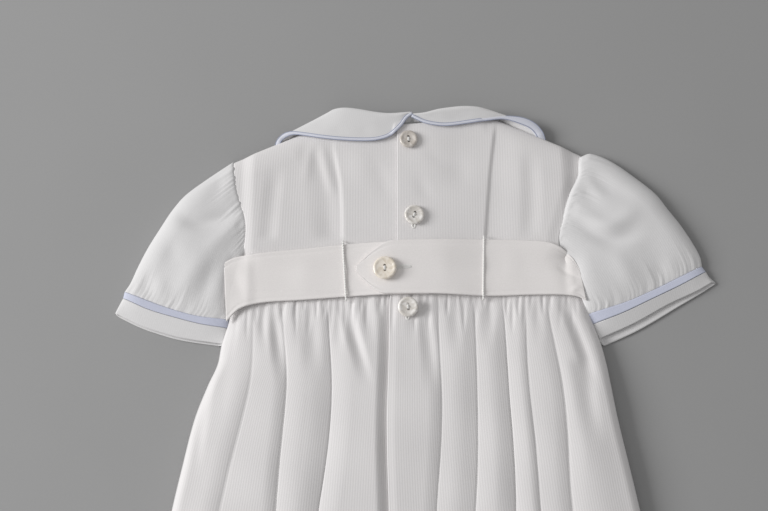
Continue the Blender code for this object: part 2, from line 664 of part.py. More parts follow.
def inner_edge(part, y):
    # inner edge of a back panel: the lap, then the seam, then the leg
    if part == "right":
        return lap_x(y) + leg_edge(y)
    lapped = smooth(PLACKET_END_Y, PLACKET_END_Y + 10.0, y)
    return mix(lap_x(y) - SEAM - leg_edge(y), UNDER_LAP_X, lapped)


def fold_lines(part, y):
    # where the inner edge, the long folds and the side lie at a height, from the middle out
    sign = -1.0 if part == "left" else 1.0
    folds = [fold_x(fold, y) for fold in FOLDS
             if fold.end < LONG_END and fold.top * sign > -lap_x(y) * sign]
    return [inner_edge(part, y)] + sorted(folds, key=abs) + [by_height(BODY_SIDES, y, part)]


def fold_columns(part):
    # places of the grid columns: one on each long fold, evenly spaced between them
    lines = fold_lines(part, WAIST_Y)
    places = [0.0]
    for i in range(len(lines) - 1):
        count = max(2, round(abs(lines[i + 1] - lines[i]) / COLUMN_PITCH))
        places += [i + (k + 1) / count for k in range(count)]
    return places


def body_panels(finish):
    def back(part):
        columns = fold_columns(part)

        def place(u, v):
            y = row_height(BODY_ROWS, v)
            lines = fold_lines(part, y)
            along = np.interp(u * (len(columns) - 1), range(len(columns)), columns)
            x = float(np.interp(along, range(len(lines)), lines))
            return x, y, body_back_z(x, y, part)
        cloth_panel("body_back_" + part, len(columns) - 1, len(BODY_ROWS) - 1, place, finish)

    step = 1.0 / BODY_FRONT_COLUMNS

    def front(u, v):
        # the columns beside the middle one close in on the notch between the legs
        y = row_height(BODY_FRONT_ROWS, v)
        middle = u - 0.5
        outer = by_height(BODY_SIDES, y, "left" if middle < 0 else "right")
        if abs(middle) < step / 2:
            return 0.0, y, FRONT_Z
        share = (abs(middle) - step) / (0.5 - step)
        near_notch = 1.0 - smooth(CROTCH_Y, NOTCH_TOP_Y, y)
        inner = math.copysign(mix(step * abs(outer), leg_edge(y), near_notch), middle)
        return mix(inner, outer, share), y, FRONT_Z

    def between_legs(centre):
        return abs(centre.x) < step and row_height(BODY_FRONT_ROWS, centre.y + 0.5) < CROTCH_Y

    back("left")
    back("right")
    cloth_panel("body_front", BODY_FRONT_COLUMNS, len(BODY_FRONT_ROWS) - 1, front, finish,
                leave_out=between_legs)


def sleeve_ring(patch, top_rise, creases, slip):
    # a flattened tube between four edge lines; u runs round the tube, v along the sleeve
    def place(u, v):
        on_top = u < SLEEVE_TOP_SHARE
        if on_top:
            across = u / SLEEVE_TOP_SHARE
        else:
            across = 1.0 - (u - SLEEVE_TOP_SHARE) / (1.0 - SLEEVE_TOP_SHARE)
        across = mix(across, (1.0 - math.cos(across * math.pi)) / 2, 0.55)
        point = coons(patch, across, v)
        edge = math.sin(math.pi * across) if 0.0 < across < 1.0 else 0.0
        width = patch_width(patch, v)
        inside = min(across, 1.0 - across) * width
        if on_top:
            swell = mix(rounded(inside, 10.0), math.sqrt(max(0.0, edge)), 0.5)
            z = SLEEVE_EDGE_Z + top_rise(v) * swell
            z += creased(creases, point[0], point[1]) * rounded(inside, 10.0) * smooth(0.0, 0.12, v)
        else:
            z = mix(SLEEVE_EDGE_Z, FRONT_Z, rounded(inside, 3.0))
            point = [point[0] + slip[0] * v * rounded(inside, 6.0),
                     point[1] + slip[1] * v * rounded(inside, 6.0)]
        return point[0], point[1], z
    return place


def coons(patch, u, v):
    # surface between four edge lines that meet at the corners
    start, end = along_points(patch["start"], u), along_points(patch["end"], u)
    outer, inner = along_points(patch["outer"], v), along_points(patch["inner"], v)
    point = []
    for k in range(2):
        corner = mix(mix(patch["outer"][0][k], patch["inner"][0][k], u),
                     mix(patch["outer"][-1][k], patch["inner"][-1][k], u), v)
        point.append(mix(start[k], end[k], v) + mix(outer[k], inner[k], u) - corner)
    return point


def patch_width(patch, v):
    outer, inner = along_points(patch["outer"], v), along_points(patch["inner"], v)
    return math.hypot(outer[0] - inner[0], outer[1] - inner[1])


def moved(line, towards, distance):
    # a line moved by a distance towards another line, point by point
    made = []
    for i, point in enumerate(line):
        goal = along_points(towards, i / (len(line) - 1))
        length = math.hypot(goal[0] - point[0], goal[1] - point[1])
        made.append(tuple(mix(point[k], goal[k], distance / length) for k in range(2)))
    return made


def sleeve_pieces(part, white, blue):
    shape = SLEEVES[part]

    def puff(v):
        return mix(SLEEVE_END_RISE, SLEEVE_PUFF + SLEEVE_END_RISE, math.sin(math.pi * v) ** 0.8)

    def band_rise(v):
        return SLEEVE_END_RISE

    def strip_rise(v):
        return SLEEVE_END_RISE + STRIP_PROUD

    sleeve = sleeve_ring(shape, puff, SLEEVE_CREASES[part], NO_SLIP)
    cloth_panel("sleeve_" + part, SLEEVE_COLUMNS, 9, sleeve, white, closed=True)
    strip_start = moved(shape["end"], shape["strip"], SEAM)
    strip = {"start": strip_start, "end": shape["strip"],
             "outer": [strip_start[0], shape["strip"][0]],
             "inner": [strip_start[-1], shape["strip"][-1]]}
    cloth_panel("sleeve_piping_" + part, SLEEVE_COLUMNS, 1,
                sleeve_ring(strip, strip_rise, [], NO_SLIP), blue, closed=True)
    band_start = moved(shape["strip"], shape["cuff"], SEAM)
    band = {"start": band_start, "end": shape["cuff"],
            "outer": [band_start[0], shape["cuff"][0]],
            "inner": [band_start[-1], shape["cuff"][-1]]}
    cloth_panel("sleeve_band_" + part, SLEEVE_COLUMNS, 2,
                sleeve_ring(band, band_rise, [], shape["under_slip"]), white, closed=True)


def collar_sections(part):
    # sections of the back and shoulder, then of the front round its neckline
    rows = [list(row) for row in COLLAR_BACK[part]]
    for front in COLLAR_FRONT[part]:
        x, y = front.neck_x, front_top_y(front.neck_x)
        slope = front_top_y(x + 0.5) - front_top_y(x - 0.5)
        into_neck = Vector((-slope, 1.0)).normalized()
        roll = Vector((x, y)) + into_neck * ROLL_OUT
        seam = Vector((x, y)) + into_neck * SEAM_OUT
        rows.append([front.edge_x, front.edge_y, COLLAR_CLOTH / 2, roll.x, roll.y, 1.0,
                     seam.x, seam.y, FRONT_Z + COLLAR_RAISE])
    return rows


def collar_point(rows, u, v):
    # v 0 is the outer edge, then the fall, the roll and the stand down to the neck seam
    values = along_points(rows, u)
    edge, roll, seam = Vector(values[0:3]), Vector(values[3:6]), Vector(values[6:9])
    crown = COLLAR_CROWN * smooth(2.0, 7.0, roll.z)
    top = roll.lerp(edge, 0.10) + Vector((0.0, 0.0, crown))
    profile = [edge, edge.lerp(top, 0.36), edge.lerp(top, 0.72), top, roll,
               roll.lerp(seam, 0.55) - Vector((0.0, 0.0, crown * 0.5)), seam]
    place = v * (len(profile) - 1)
    i = min(len(profile) - 2, int(place))
    point = profile[i].lerp(profile[i + 1], place - i)
    return clear_of_bodice(point, COLLAR_CLOTH / 2) if v < 0.6 else point


def clear_of_bodice(point, half):
    # something this thick lies on the back bodice, or flat on the table under the front
    if shoulder_distance(point.x, point.y) < -CORNER_CLEAR:
        return point
    if point.z > COLLAR_BACK_Z:
        lap = smooth(-11.0, -7.6, point.x) * (1.0 - smooth(*LAP_FADE, point.x))
        lowest = bodice_cover(point.x, point.y) + LAP_RISE * lap + CLOTH / 2 + SEAM + half
        lowest += COLLAR_AIR
        return Vector((point.x, point.y, max(point.z, lowest)))
    return Vector((point.x, point.y, half))


def collar_pieces(part, white, blue):
    rows = collar_sections(part)

    def place(u, v):
        return collar_point(rows, u, v)

    cloth_panel("collar_" + part, COLLAR_COLUMNS, 6, place, white, thickness=COLLAR_CLOTH)
    points = []
    for i in range(COLLAR_COLUMNS + 1):
        u = i / COLLAR_COLUMNS
        edge, inside = place(u, 0.0), place(u, 0.08)
        along = (place(min(1.0, u + 0.01), 0.0) - place(max(0.0, u - 0.01), 0.0)).normalized()
        outward = edge - inside
        outward = (outward - along * outward.dot(along)).normalized()
        spot = edge + outward * PIPING_OFF
        spot.z = max(spot.z, PIPING_RADIUS)
        points.append(clear_of_bodice(spot, PIPING_RADIUS))
    tube("collar_piping_" + part, points, PIPING_RADIUS, blue)


def tube(name, points, radius, finish):
    # a round cord along points, made a closed mesh
    curve = bpy.data.curves.new(name + "_line", "CURVE")
    curve.dimensions = "3D"
    curve.bevel_depth = radius * MM
    curve.bevel_resolution = 1
    curve.use_fill_caps = True
    spline = curve.splines.new("POLY")
    spline.points.add(len(points) - 1)
    for spot, point in zip(spline.points, points):
        spot.co = (*(Vector(point) * MM), 1.0)
    line = bpy.data.objects.new(name + "_line", curve)
    bpy.context.scene.collection.objects.link(line)
    bpy.context.view_layer.update()
    graph = bpy.context.evaluated_depsgraph_get()
    mesh = bpy.data.meshes.new_from_object(line.evaluated_get(graph))
    bm = bmesh.new()
    bm.from_mesh(mesh)
    bmesh.ops.remove_doubles(bm, verts=bm.verts, dist=1e-7)
    bm.to_mesh(mesh)
    bm.free()
    mesh.name = name
    mesh.materials.clear()
    mesh.shade_smooth()
    mesh.set_sharp_from_angle(angle=math.radians(60))
    add_object(name, mesh, finish)
    bpy.data.objects.remove(line)


def belt_right_z(x, y):
    # the right half of the belt lies on the left one round the middle
    return cover_z(x, y) + LAYER * (1.0 - smooth(UNDER_LAP_X + 7.0, UNDER_LAP_X + 24.0, x))


def belt_half(name, rows, surface, finish):
    table = [list(row) for row in rows]

    def place(u, v):
        low_x, low_y, high_x, high_y = along_points(table, u)
        return lifted(surface, mix(low_x, high_x, v), mix(low_y, high_y, v), LAYER + BELT_AIR)

    cloth_panel(name, 26, 4, place, finish)


def belt_loops(finish):
    for part, (top_x, low_x) in BELT_LOOPS.items():
        rows = BELT_LEFT if part == "left" else BELT_RIGHT
        high = curve_value([row.high_x for row in rows], [row.high_y for row in rows], top_x)
        low = curve_value([row.low_x for row in rows], [row.low_y for row in rows], low_x)
        over_belt = LAYER + CLOTH / 2 + SEAM + LOOP_RADIUS
        on_cloth = CLOTH / 2 + SEAM + LOOP_RADIUS
        steps = [(high + LOOP_OVERRUN, on_cloth), (high + 1.5, over_belt * 0.9),
                 (high - 0.2, over_belt), (mix(high, low, 0.33), over_belt),
                 (mix(high, low, 0.66), over_belt), (low + 0.2, over_belt),
                 (low - 1.5, over_belt * 0.9), (low - LOOP_OVERRUN, on_cloth + 0.4)]
        points = []
        for y, lift in steps:
            x = mix(low_x, top_x, (y - low) / (high - low))
            points.append(Vector((x, y, cover_z(x, y) + lift)))
        tube("belt_loop_" + part, points, LOOP_RADIUS, finish)


def button(name, diameter, x, y, z, tilt, finish):
    # a turned disc with a raised rim and two sewing holes, one above the other
    radius = diameter / 2
    profile = [(0.0, BUTTON_DISH), (radius - 2.4, BUTTON_DISH), (radius - 1.5, BUTTON_RIM),
               (radius - 0.7, BUTTON_RIM), (radius, BUTTON_RIM - 0.7), (radius - 0.3, 0.5),
               (radius - 1.2, 0.0), (0.0, 0.0)]   # from the top's middle out, round and back in
    bm = bmesh.new()
    verts = [bm.verts.new((px * MM, 0.0, pz * MM)) for px, pz in profile]
    for first, second in zip(verts, verts[1:]):
        bm.edges.new((first, second))
    mesh = bpy.data.meshes.new(name)
    bm.to_mesh(mesh)
    bm.free()
    made = add_object(name, mesh, finish)
    turn = made.modifiers.new("turn", "SCREW")
    turn.axis = "Z"
    turn.steps = BUTTON_SIDES
    turn.render_steps = BUTTON_SIDES
    turn.use_merge_vertices = True
    turn.merge_threshold = 0.00001
    made.location = (x * MM, y * MM, z * MM)
    made.rotation_euler = [math.radians(angle) for angle in tilt]
    for side in (-1, 1):
        bm = bmesh.new()
        bmesh.ops.create_cone(bm, cap_ends=True, segments=8, radius1=HOLE_RADIUS * MM,
                              radius2=HOLE_RADIUS * MM, depth=8 * MM)
        hole_mesh = bpy.data.meshes.new(name + "_hole")
        bm.to_mesh(hole_mesh)
        bm.free()
        hole = bpy.data.objects.new(f"{name}_hole_{side + 1}", hole_mesh)
        cutters.objects.link(hole)
        hole.hide_render = True
        hole.display_type = "WIRE"
        hole.parent = made
        hole.location = (0.0, side * HOLE_SPACING / 2 * MM, BUTTON_DISH / 2 * MM)
        cut = made.modifiers.new("hole", "BOOLEAN")
        cut.operation = "DIFFERENCE"
        cut.solver = "EXACT"
        cut.object = hole


def seated_button(seat, surface, finish):
    # lowered until its tilted underside just clears the cloth
    slope_x = math.tan(math.radians(-seat.tilt_y))
    slope_y = math.tan(math.radians(seat.tilt_x))
    highest = -1e9
    for ring in (0.0, 0.5, 1.0):
        for k in range(12):
            dx = math.cos(k * math.pi / 6) * ring * seat.diameter / 2
            dy = math.sin(k * math.pi / 6) * ring * seat.diameter / 2
            highest = max(highest, surface(seat.x + dx, seat.y + dy) - dx * slope_x - dy * slope_y)
    z = highest + CLOTH / 2 + SEAM + 0.1
    button(seat.name, seat.diameter, seat.x, seat.y, z, (seat.tilt_x, seat.tilt_y, seat.turn), finish)


def buttons(small, large):
    def right_back(x, y):
        if y > WAIST_Y:
            return bodice_back_z(x, y, "right")
        return body_back_z(x, y, "right")

    def fastened_belt(x, y):
        return belt_right_z(x, y) + LAYER + BELT_AIR

    for seat in SMALL_BUTTONS:
        seated_button(seat, right_back, small)
    seated_button(BELT_SEAT, fastened_belt, large)


def clear_scene():
    for thing in list(bpy.data.objects):
        bpy.data.objects.remove(thing, do_unlink=True)


def collection(name):
    made = bpy.data.collections.new(name)
    bpy.context.scene.collection.children.link(made)
    return made


clear_scene()
parts = collection("baby_romper")
cutters = collection("cutters")

ribbed = material("white ribbed cotton", WHITE, 0.85)
plain = material("white plain cotton", WHITE, 0.8)
belt_cloth = material("cream cotton", CREAM, 0.75)
blue_cloth = material("pale blue piping", BLUE, 0.75)
thread = material("white thread", WHITE, 0.8)
pearl = material("pearl", PEARL, 0.3)
amber_pearl = material("amber pearl", AMBER_PEARL, 0.3)

bodice_panels(ribbed)
body_panels(ribbed)
for part in ("left", "right"):
    sleeve_pieces(part, plain, blue_cloth)
    collar_pieces(part, plain, blue_cloth)
belt_half("belt_left", BELT_LEFT, cover_z, belt_cloth)
belt_half("belt_right", BELT_RIGHT, belt_right_z, belt_cloth)
belt_loops(thread)
buttons(pearl, amber_pearl)
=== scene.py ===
import math

import bmesh
import bpy
import numpy as np
from mathutils import Euler, Matrix, Vector


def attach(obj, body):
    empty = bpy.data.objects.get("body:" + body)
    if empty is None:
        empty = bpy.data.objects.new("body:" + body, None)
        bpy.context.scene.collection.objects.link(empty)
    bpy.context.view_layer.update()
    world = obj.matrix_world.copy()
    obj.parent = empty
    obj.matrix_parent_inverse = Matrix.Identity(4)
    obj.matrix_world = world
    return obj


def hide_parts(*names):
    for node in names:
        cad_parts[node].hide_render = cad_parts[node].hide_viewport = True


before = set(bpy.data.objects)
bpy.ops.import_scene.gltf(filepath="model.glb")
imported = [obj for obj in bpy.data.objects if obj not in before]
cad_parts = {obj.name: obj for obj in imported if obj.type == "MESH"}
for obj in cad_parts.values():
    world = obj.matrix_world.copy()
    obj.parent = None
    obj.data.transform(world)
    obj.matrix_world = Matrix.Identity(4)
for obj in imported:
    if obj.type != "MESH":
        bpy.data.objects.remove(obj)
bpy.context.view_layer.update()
mm = 0.001

# Tables are in millimetres: x to the right, y up to the collar, z up from the table.

# view, light and floor
view = {
    "tilt": 15.0,          # degrees the camera leans from straight down
    "scale": 0.60,         # millimetres on the table for one pixel of the photo's frame
    "pixelsWide": 768,
    "lens": 70.0,
    "sensor": 36.0,
    "aim": (-14.4, 26.5),  # place on the table in the middle of the frame
}
light = {
    "keyPower": 134.0,
    "keySize": 1.75,
    "keyFrom": (-3.55, 0.38, 1.82),
    "sky": 0.40,
    "floorLeft": (0.405, 0.404, 0.404),
    "floorRight": (0.356, 0.355, 0.355),
    "paintedFloorFalloff": 2.2,      # of the change from left to right, for each metre; the floor is painted darker to the right as painted shade, the key light's falloff
    "floorSize": 3.0,
}

# shapes of the cloth
body = {
    "frontZ": 0.6,         # middle of the front cloth
    "layer": 1.6,          # from one cloth to the one on it
    "wall": 0.9,
    "halfWall": 0.6,       # of the thicker cloth that the solids have
    "seamGap": 0.3,
    "collarRaise": 1.9,    # the front bodice lies on the collar's front
    "raisedY": (14, 32),
    "raisedX": (92, 101),
    "bodiceRise": 3.3,
    "edgeRound": 14.0,
    "skirtEdgeRound": 6.0,
    "sideLow": 0.26,       # share of the height that is missing at the side
    "sideReach": 26.0,
    "lapRise": 1.35,
    "lapFade": (10.0, 52.0),     # x where its rise ends, to the right
    "waistY": 3.0,
    "beltTopY": 33.0,
    "crotchY": -292.0,
    "hemY": -330.0,
    "placketEndY": -150.0,
    "lapEnds": (-50, 10),    # from the placket's end, where the lap flattens out
    "underEnds": (-34, 6),   # and where the cloth under it does
    "underPressed": 0.26,  # share of the height that the left back loses under the lap
    "lapPressed": 0.05,
    "legGap": 14.0,
    "unevenness": 0.08,    # of the crests' height
    "unevenPitch": 58.0,
    "underLapX": 8.0,
    # height, left edge, right edge
    "sides": [(3, -105, 101.5), (-12.5, -105.8, 107.6), (-29, -109.7, 113.2),
              (-41, -111.8, 116), (-53, -117, 118), (-73, -124.2, 121.3),
              (-102, -130.7, 127.2), (-126, -135.6, 132), (-170, -143, 140.5),
              (-215, -148, 146.5), (-260, -150, 150), (-300, -149, 149),
              (-330, -145, 145)],
    # height, x of the right back's edge, then of the seam below it
    "lapEdge": [(110, -6.6), (30, -6.8), (0, -10.8), (-32, -11.5), (-80, -12.7),
                (-126, -11.6), (-150, -10.5), (-230, -3), (-292, 0), (-330, 0)],
    "threadsWide": 168.0,  # of each back, spread flat
    # distance below the belt, height of the crests
    "crests": [(-40, 3.3), (-1, 3.3), (5, 4.6), (14, 6.6), (34, 8.4), (70, 9.8),
               (125, 10.2), (200, 8.4), (290, 5), (332, 3.2)],
}

folds = {
    "heights": (-8, -58, -126),
    "rightWide": 3.2,      # widths of a long fold's slopes against their table values
    "leftWide": 1.35,
    "depth": 0.27,         # share of the table's depths that the pressed folds keep
    "notch": 0.04,         # the crack at the bottom of a long fold
    "notchWidth": 0.9,
    "notchLean": 0.6,
    "softening": 0.35,     # share of the depth lost further down
    "softenY": (140, 300),
    "wander": 0.5,         # of a fold's line from side to side
    "startFade": (2.0, 6.0),
    "endFade": (-8.0, 26.0),
    # x at three heights, width of left and right slope, depth share, start and end below the belt
    "rows": [
        (-101, -108, -118, 5, 4, 0.35, 0, -34),
        (-112, -118.5, -126, 5, 5, 0.35, -42, -100),
        (-91.2, -93, -108, 8, 7, 0.50, 2, -145),
        (-85.6, -82, -80, 3.5, 3.5, 0.35, 2, -32),
        (-80.2, -72.6, -70, 4, 4, 0.40, 2, -48),
        (-74.6, -71.2, -75.9, 6, 3.6, 0.62, 2, -420),
        (-64.5, -62, -61, 4, 4, 0.25, 2, -30),
        (-57.5, -56, -56, 5.5, 5.5, 0.32, 2, -46),
        (-47.8, -44.4, -51.5, 9.5, 3.8, 0.82, 2, -420),
        (-41.6, -41, -41, 3.5, 3.5, 0.35, 2, -32),
        (-35.6, -24, -24, 4.5, 4, 0.42, 2, -50),
        (-23.6, -22, -22, 3.5, 3.5, 0.28, 2, -26),
        (2.5, 3, 3, 3.5, 3.5, 0.22, 2, -26),
        (9.2, 13.5, 14, 4.5, 4, 0.28, 2, -54),
        (17.6, 18.8, 15.8, 6, 4.2, 0.55, 2, -420),
        (27.5, 27, 27, 4.5, 4, 0.24, 2, -34),
        (38.4, 40, 37.2, 11.5, 4, 0.66, 2, -420),
        (46.8, 46, 46, 3.5, 3.5, 0.26, 2, -30),
        (55.6, 58.6, 60.2, 9, 3.6, 0.80, 2, -420),
        (69.2, 69.8, 74.6, 3.6, 3, 0.42, 2, -420),
        (75.6, 77, 78, 3.5, 3.5, 0.24, 2, -28),
        (82.4, 89, 92.6, 6, 3.4, 0.58, 2, -420),
        (94.2, 108, 112, 4.5, 4, 0.38, 2, -54),
        (96, 103, 112, 7, 6, 0.28, -38, -84),
    ],
    "longEnd": -140.0,
    # pitch, shift, length share, depth share
    "gathers": [(6.3, 0, 1, 1), (9.7, 2.3, 1.7, 0.8), (4.1, 1.1, 0.5, 0.7)],
    "gatherWidth": 0.42,   # of a slope, against the pitch
    "gatherShare": 0.165,
    "shortDepth": 2.1,     # of the placed short folds, against the long ones
    "shortWide": (1.5, 1.3),
    "gatherLength": 12.0,
}


def smooth(start, end, value):
    t = np.clip((value - start) / (end - start), 0.0, 1.0)
    return t * t * (3.0 - 2.0 * t)


def mix(a, b, t):
    return a + (b - a) * t


def rounded(distance, width):  # quarter circle from 0 at the fold to 1 at this width
    t = 1.0 - np.clip(distance / width, 0.0, 1.0)
    return np.sqrt(np.maximum(0.0, 1.0 - t * t))


def curveValue(xs, ys, x):  # smooth curve through table values, x rising
    xs, ys = np.asarray(xs, float), np.asarray(ys, float)
    slopes = np.gradient(ys, xs)
    slopes[1:-1] = (ys[2:] - ys[:-2]) / (xs[2:] - xs[:-2])
    x = np.clip(x, xs[0], xs[-1])
    i = np.clip(np.searchsorted(xs, x) - 1, 0, len(xs) - 2)
    step = xs[i + 1] - xs[i]
    t = (x - xs[i]) / step
    value = ys[i] * (1 + 2 * t) * (1 - t) ** 2 + ys[i + 1] * t * t * (3 - 2 * t)
    return value + step * (slopes[i] * t * (1 - t) ** 2 - slopes[i + 1] * t * t * (1 - t))


def throughRows(rows, first, second, x):  # one column of a table as a curve over another
    return curveValue([row[first] for row in rows], [row[second] for row in rows], x)


def spaced(values, share):  # between the values of a list, at this share of its length
    return np.interp(share * (len(values) - 1), np.arange(len(values)), values)


def atHeight(rows, y, column):  # a column of a table whose rows go down in y
    table = np.array(rows, float)[::-1]
    return curveValue(table[:, 0], table[:, column], y)


def alongPoints(points, t):  # places at shares t of a smooth line
    table = np.array(points, float)
    lengths = np.concatenate([[0.0], np.cumsum(np.linalg.norm(np.diff(table, axis=0), axis=1))])
    lengths /= lengths[-1]
    return np.stack([curveValue(lengths, table[:, k], t) for k in range(table.shape[1])], axis=-1)


def creased(rows, x, y):  # soft ridges and troughs along a bent line: three points, width, height
    total = np.zeros(np.shape(x))
    for x0, y0, x1, y1, x2, y2, width, height in rows:
        length = math.hypot(x1 - x0, y1 - y0) + math.hypot(x2 - x1, y2 - y1)
        count = max(6, math.ceil(length / width / 0.6))
        shares = np.linspace(0.0, 1.0, count)
        spacing = length / (count - 1) / (width * math.sqrt(math.pi))
        for share, (px, py) in zip(shares, alongPoints([(x0, y0), (x1, y1), (x2, y2)], shares)):
            gap = ((x - px) ** 2 + (y - py) ** 2) / width ** 2
            total += height * spacing * math.sin(math.pi * share) ** 0.7 * np.exp(-gap)
    return total


def tucked(rows, x, y):  # uneven troughs: x at three heights, width left and right of it, depth
    total = np.zeros(np.shape(x))
    for y0, x0, y1, x1, y2, x2, left, right, depth, fade in rows:
        middle = curveValue([y2, y1, y0], [x2, x1, x0], y)
        held = smooth(y2 - fade, y2 + fade, y) * (1.0 - smooth(y0 - fade, y0 + fade, y))
        total -= depth * held * valley(x - middle, left, right)
    return total


def ripple(x, y, pitch):  # soft uneven swell from -1 to 1
    k = 2 * np.pi / pitch
    return (np.sin(k * (x * 0.93 + y * 0.37) + 1.3 * np.sin(k * 0.43 * y + 0.7))
            + np.sin(k * (0.61 * y - x * 0.52) + 1.1 * np.sin(k * 0.37 * x + 2.1))
            + np.sin(k * 1.71 * (x * 0.31 + y * 0.83) + 4.0)) / 3.0


# bodice
bodice = {
    # armhole down to underarm, then side seam: height, left edge, right edge
    "sides": [(88.4, -106, 105.3), (83.3, -105.4, 104.2), (75, -104.9, 103.7),
              (64.2, -103.1, 98.8), (54.1, -99.8, 95.6), (46.6, -97.4, 93.4), (36.6, -97, 90.2),
              (28.5, -98, 90.6), (18, -101.5, 95.5), (3, -105, 101.5)],
    "backTop": [(-105.4, 83.3), (-44, 110.5), (-18, 107.5), (2, 107), (22, 109.5),
                (48, 113.5), (104.8, 88.7)],
    "neckMiddleX": 2.0,
    "neckHalf": 46.0,
    "neckLift": 0.9,
    "frontNeckY": 72.0,
    "frontNeckDrop": 38.5,
    "frontNeckPower": 2.2,
    "frontNeckRight": 2.2,       # the right end of the front's neckline is this much higher
    "lapX": -6.6,
    "swell": 0.28,
    "swellPitch": 41.0,
    "armholeY": (22, 34),    # where the armhole starts, over the belt
    # height lost at the armhole, and how far in it reaches
    "armholeCurl": {"left": (-1.2, 48), "right": (0.7, 8)},
    # y and x at top, middle and bottom, slope left and right, depth, fade
    "tucks": [
        (92, -46.5, 66, -42.2, 20, -40.6, 15, 3.4, 0.80, 12),
        (99, -62, 74, -53, 30, -47, 12, 9, 0.7, 12),
        (112, 55.4, 76, 50.8, 20, 46, 2.6, 19, 0.9, 8),
        (84, 74, 60, 74.5, 38, 73, 8, 8, 0.6, 10),
        (74, -80, 52, -82, 28, -84, 8, 7, 0.6, 10),
    ],
    "creases": [
        (27, 92, 30, 80, 34, 66, 8, -0.8),
        (10, 92, 17, 86, 26, 84, 5, -0.5),
        (-30, 92, -29, 80, -28, 66, 7, 0.4),
        (-52.7, 94, -49, 78, -45, 62, 3, 0.7),
        (-57, 98, -60, 84, -61, 70, 3.2, 0.5),
        (-20, 84, -15, 72, -12, 58, 5, -0.4),
        (6, 74, 10, 64, 16, 60, 4, -0.35),
    ],
}


def shoulderDistance(x, y):  # distance in from the shoulder seams and the neckline
    top = bodice["backTop"]
    under = np.maximum(0.0, bodice["neckHalf"] - np.abs(x - bodice["neckMiddleX"]))
    made = []
    for outer, neck, sign in ((top[0], top[1], 1.0), (top[-1], top[-2], -1.0)):
        length = math.hypot(outer[0] - neck[0], outer[1] - neck[1])
        cross = (outer[0] - neck[0]) * (y - neck[1]) - (outer[1] - neck[1]) * (x - neck[0])
        made.append(sign * cross / length + under * bodice["neckLift"])
    return np.where(x < bodice["neckMiddleX"], made[0], made[1])


def frontZ(x, y):  # middle of the front cloth
    raised = smooth(*body["raisedY"], y) * (1.0 - smooth(*body["raisedX"], np.abs(x)))
    return body["frontZ"] + body["collarRaise"] * raised


def betweenSides(sides, x, y):  # distance in from the nearer side
    return np.minimum(x - atHeight(sides, y, 1), atHeight(sides, y, 2) - x)


def sideDistance(x, y):
    upper = betweenSides(bodice["sides"], x, y) + body["edgeRound"] * smooth(22.0, 36.0, y)
    return np.where(y > body["waistY"], upper, betweenSides(body["sides"], x, y))


def bodiceCover(x, y):  # the back's smooth shape over the front
    inside = np.minimum(sideDistance(x, y), shoulderDistance(x, y))
    return frontZ(x, y) + body["layer"] + body["bodiceRise"] * rounded(inside, body["edgeRound"])


def lapShare(x):  # how much of the lap's rise is left at this x
    return 1.0 - smooth(*body["lapFade"], x)


def bodiceZ(x, y, part):
    inside = np.minimum(sideDistance(x, y), shoulderDistance(x, y))
    aboveBelt = smooth(body["beltTopY"] - 2.0, body["beltTopY"] + 5.0, y)
    fade = smooth(0.0, body["edgeRound"], inside) * aboveBelt
    relief = creased(bodice["creases"], x, y) + tucked(bodice["tucks"], x, y)
    relief = relief + bodice["swell"] * ripple(x, y, bodice["swellPitch"])
    lost, reach = bodice["armholeCurl"][part]
    curl = lost * (1.0 - smooth(0.0, reach, betweenSides(bodice["sides"], x, y)))
    curl = curl * smooth(*bodice["armholeY"], y)
    z = bodiceCover(x, y) + relief * fade - curl
    if part == "right":
        z = z + body["lapRise"] * lapShare(x)
    return z


def beltEdge(x):
    rows = belt["left"][:5] + belt["right"][5:]
    return throughRows(rows, 0, 1, x)


def crestRise(x, y):  # height of the crests between the folds
    return throughRows(body["crests"], 0, 1, beltEdge(x) - y)


def foldX(row, y):  # a fold's line, which spreads with the side below the last height
    heights = [-h for h in folds["heights"]]
    x = curveValue(heights, row[:3], -y)
    edge = 1 if row[1] < 0 else 2
    spread = atHeight(body["sides"], y, edge) / atHeight(body["sides"], folds["heights"][2], edge)
    wander = folds["wander"] * np.sin(y * 0.061 + row[0] * 0.37)  # each fold in its own way
    wander = wander * smooth(-200.0, -20.0, -y) * (1 - smooth(-20.0, 0.0, y))
    return np.where(y < folds["heights"][2], x * spread, x) + wander


def fromLine(offset, left, right):  # 0 on the line to 1 at these widths
    return np.minimum(1.0, np.where(offset > 0, offset / right, -offset / left))


def valley(offset, left, right):  # round at the bottom
    return np.cos(fromLine(offset, left, right) * np.pi / 2) ** 2


def pressedFold(offset, left, right):  # meets in a sharp line at the bottom
    return (1.0 - fromLine(offset, left, right)) ** 1.8


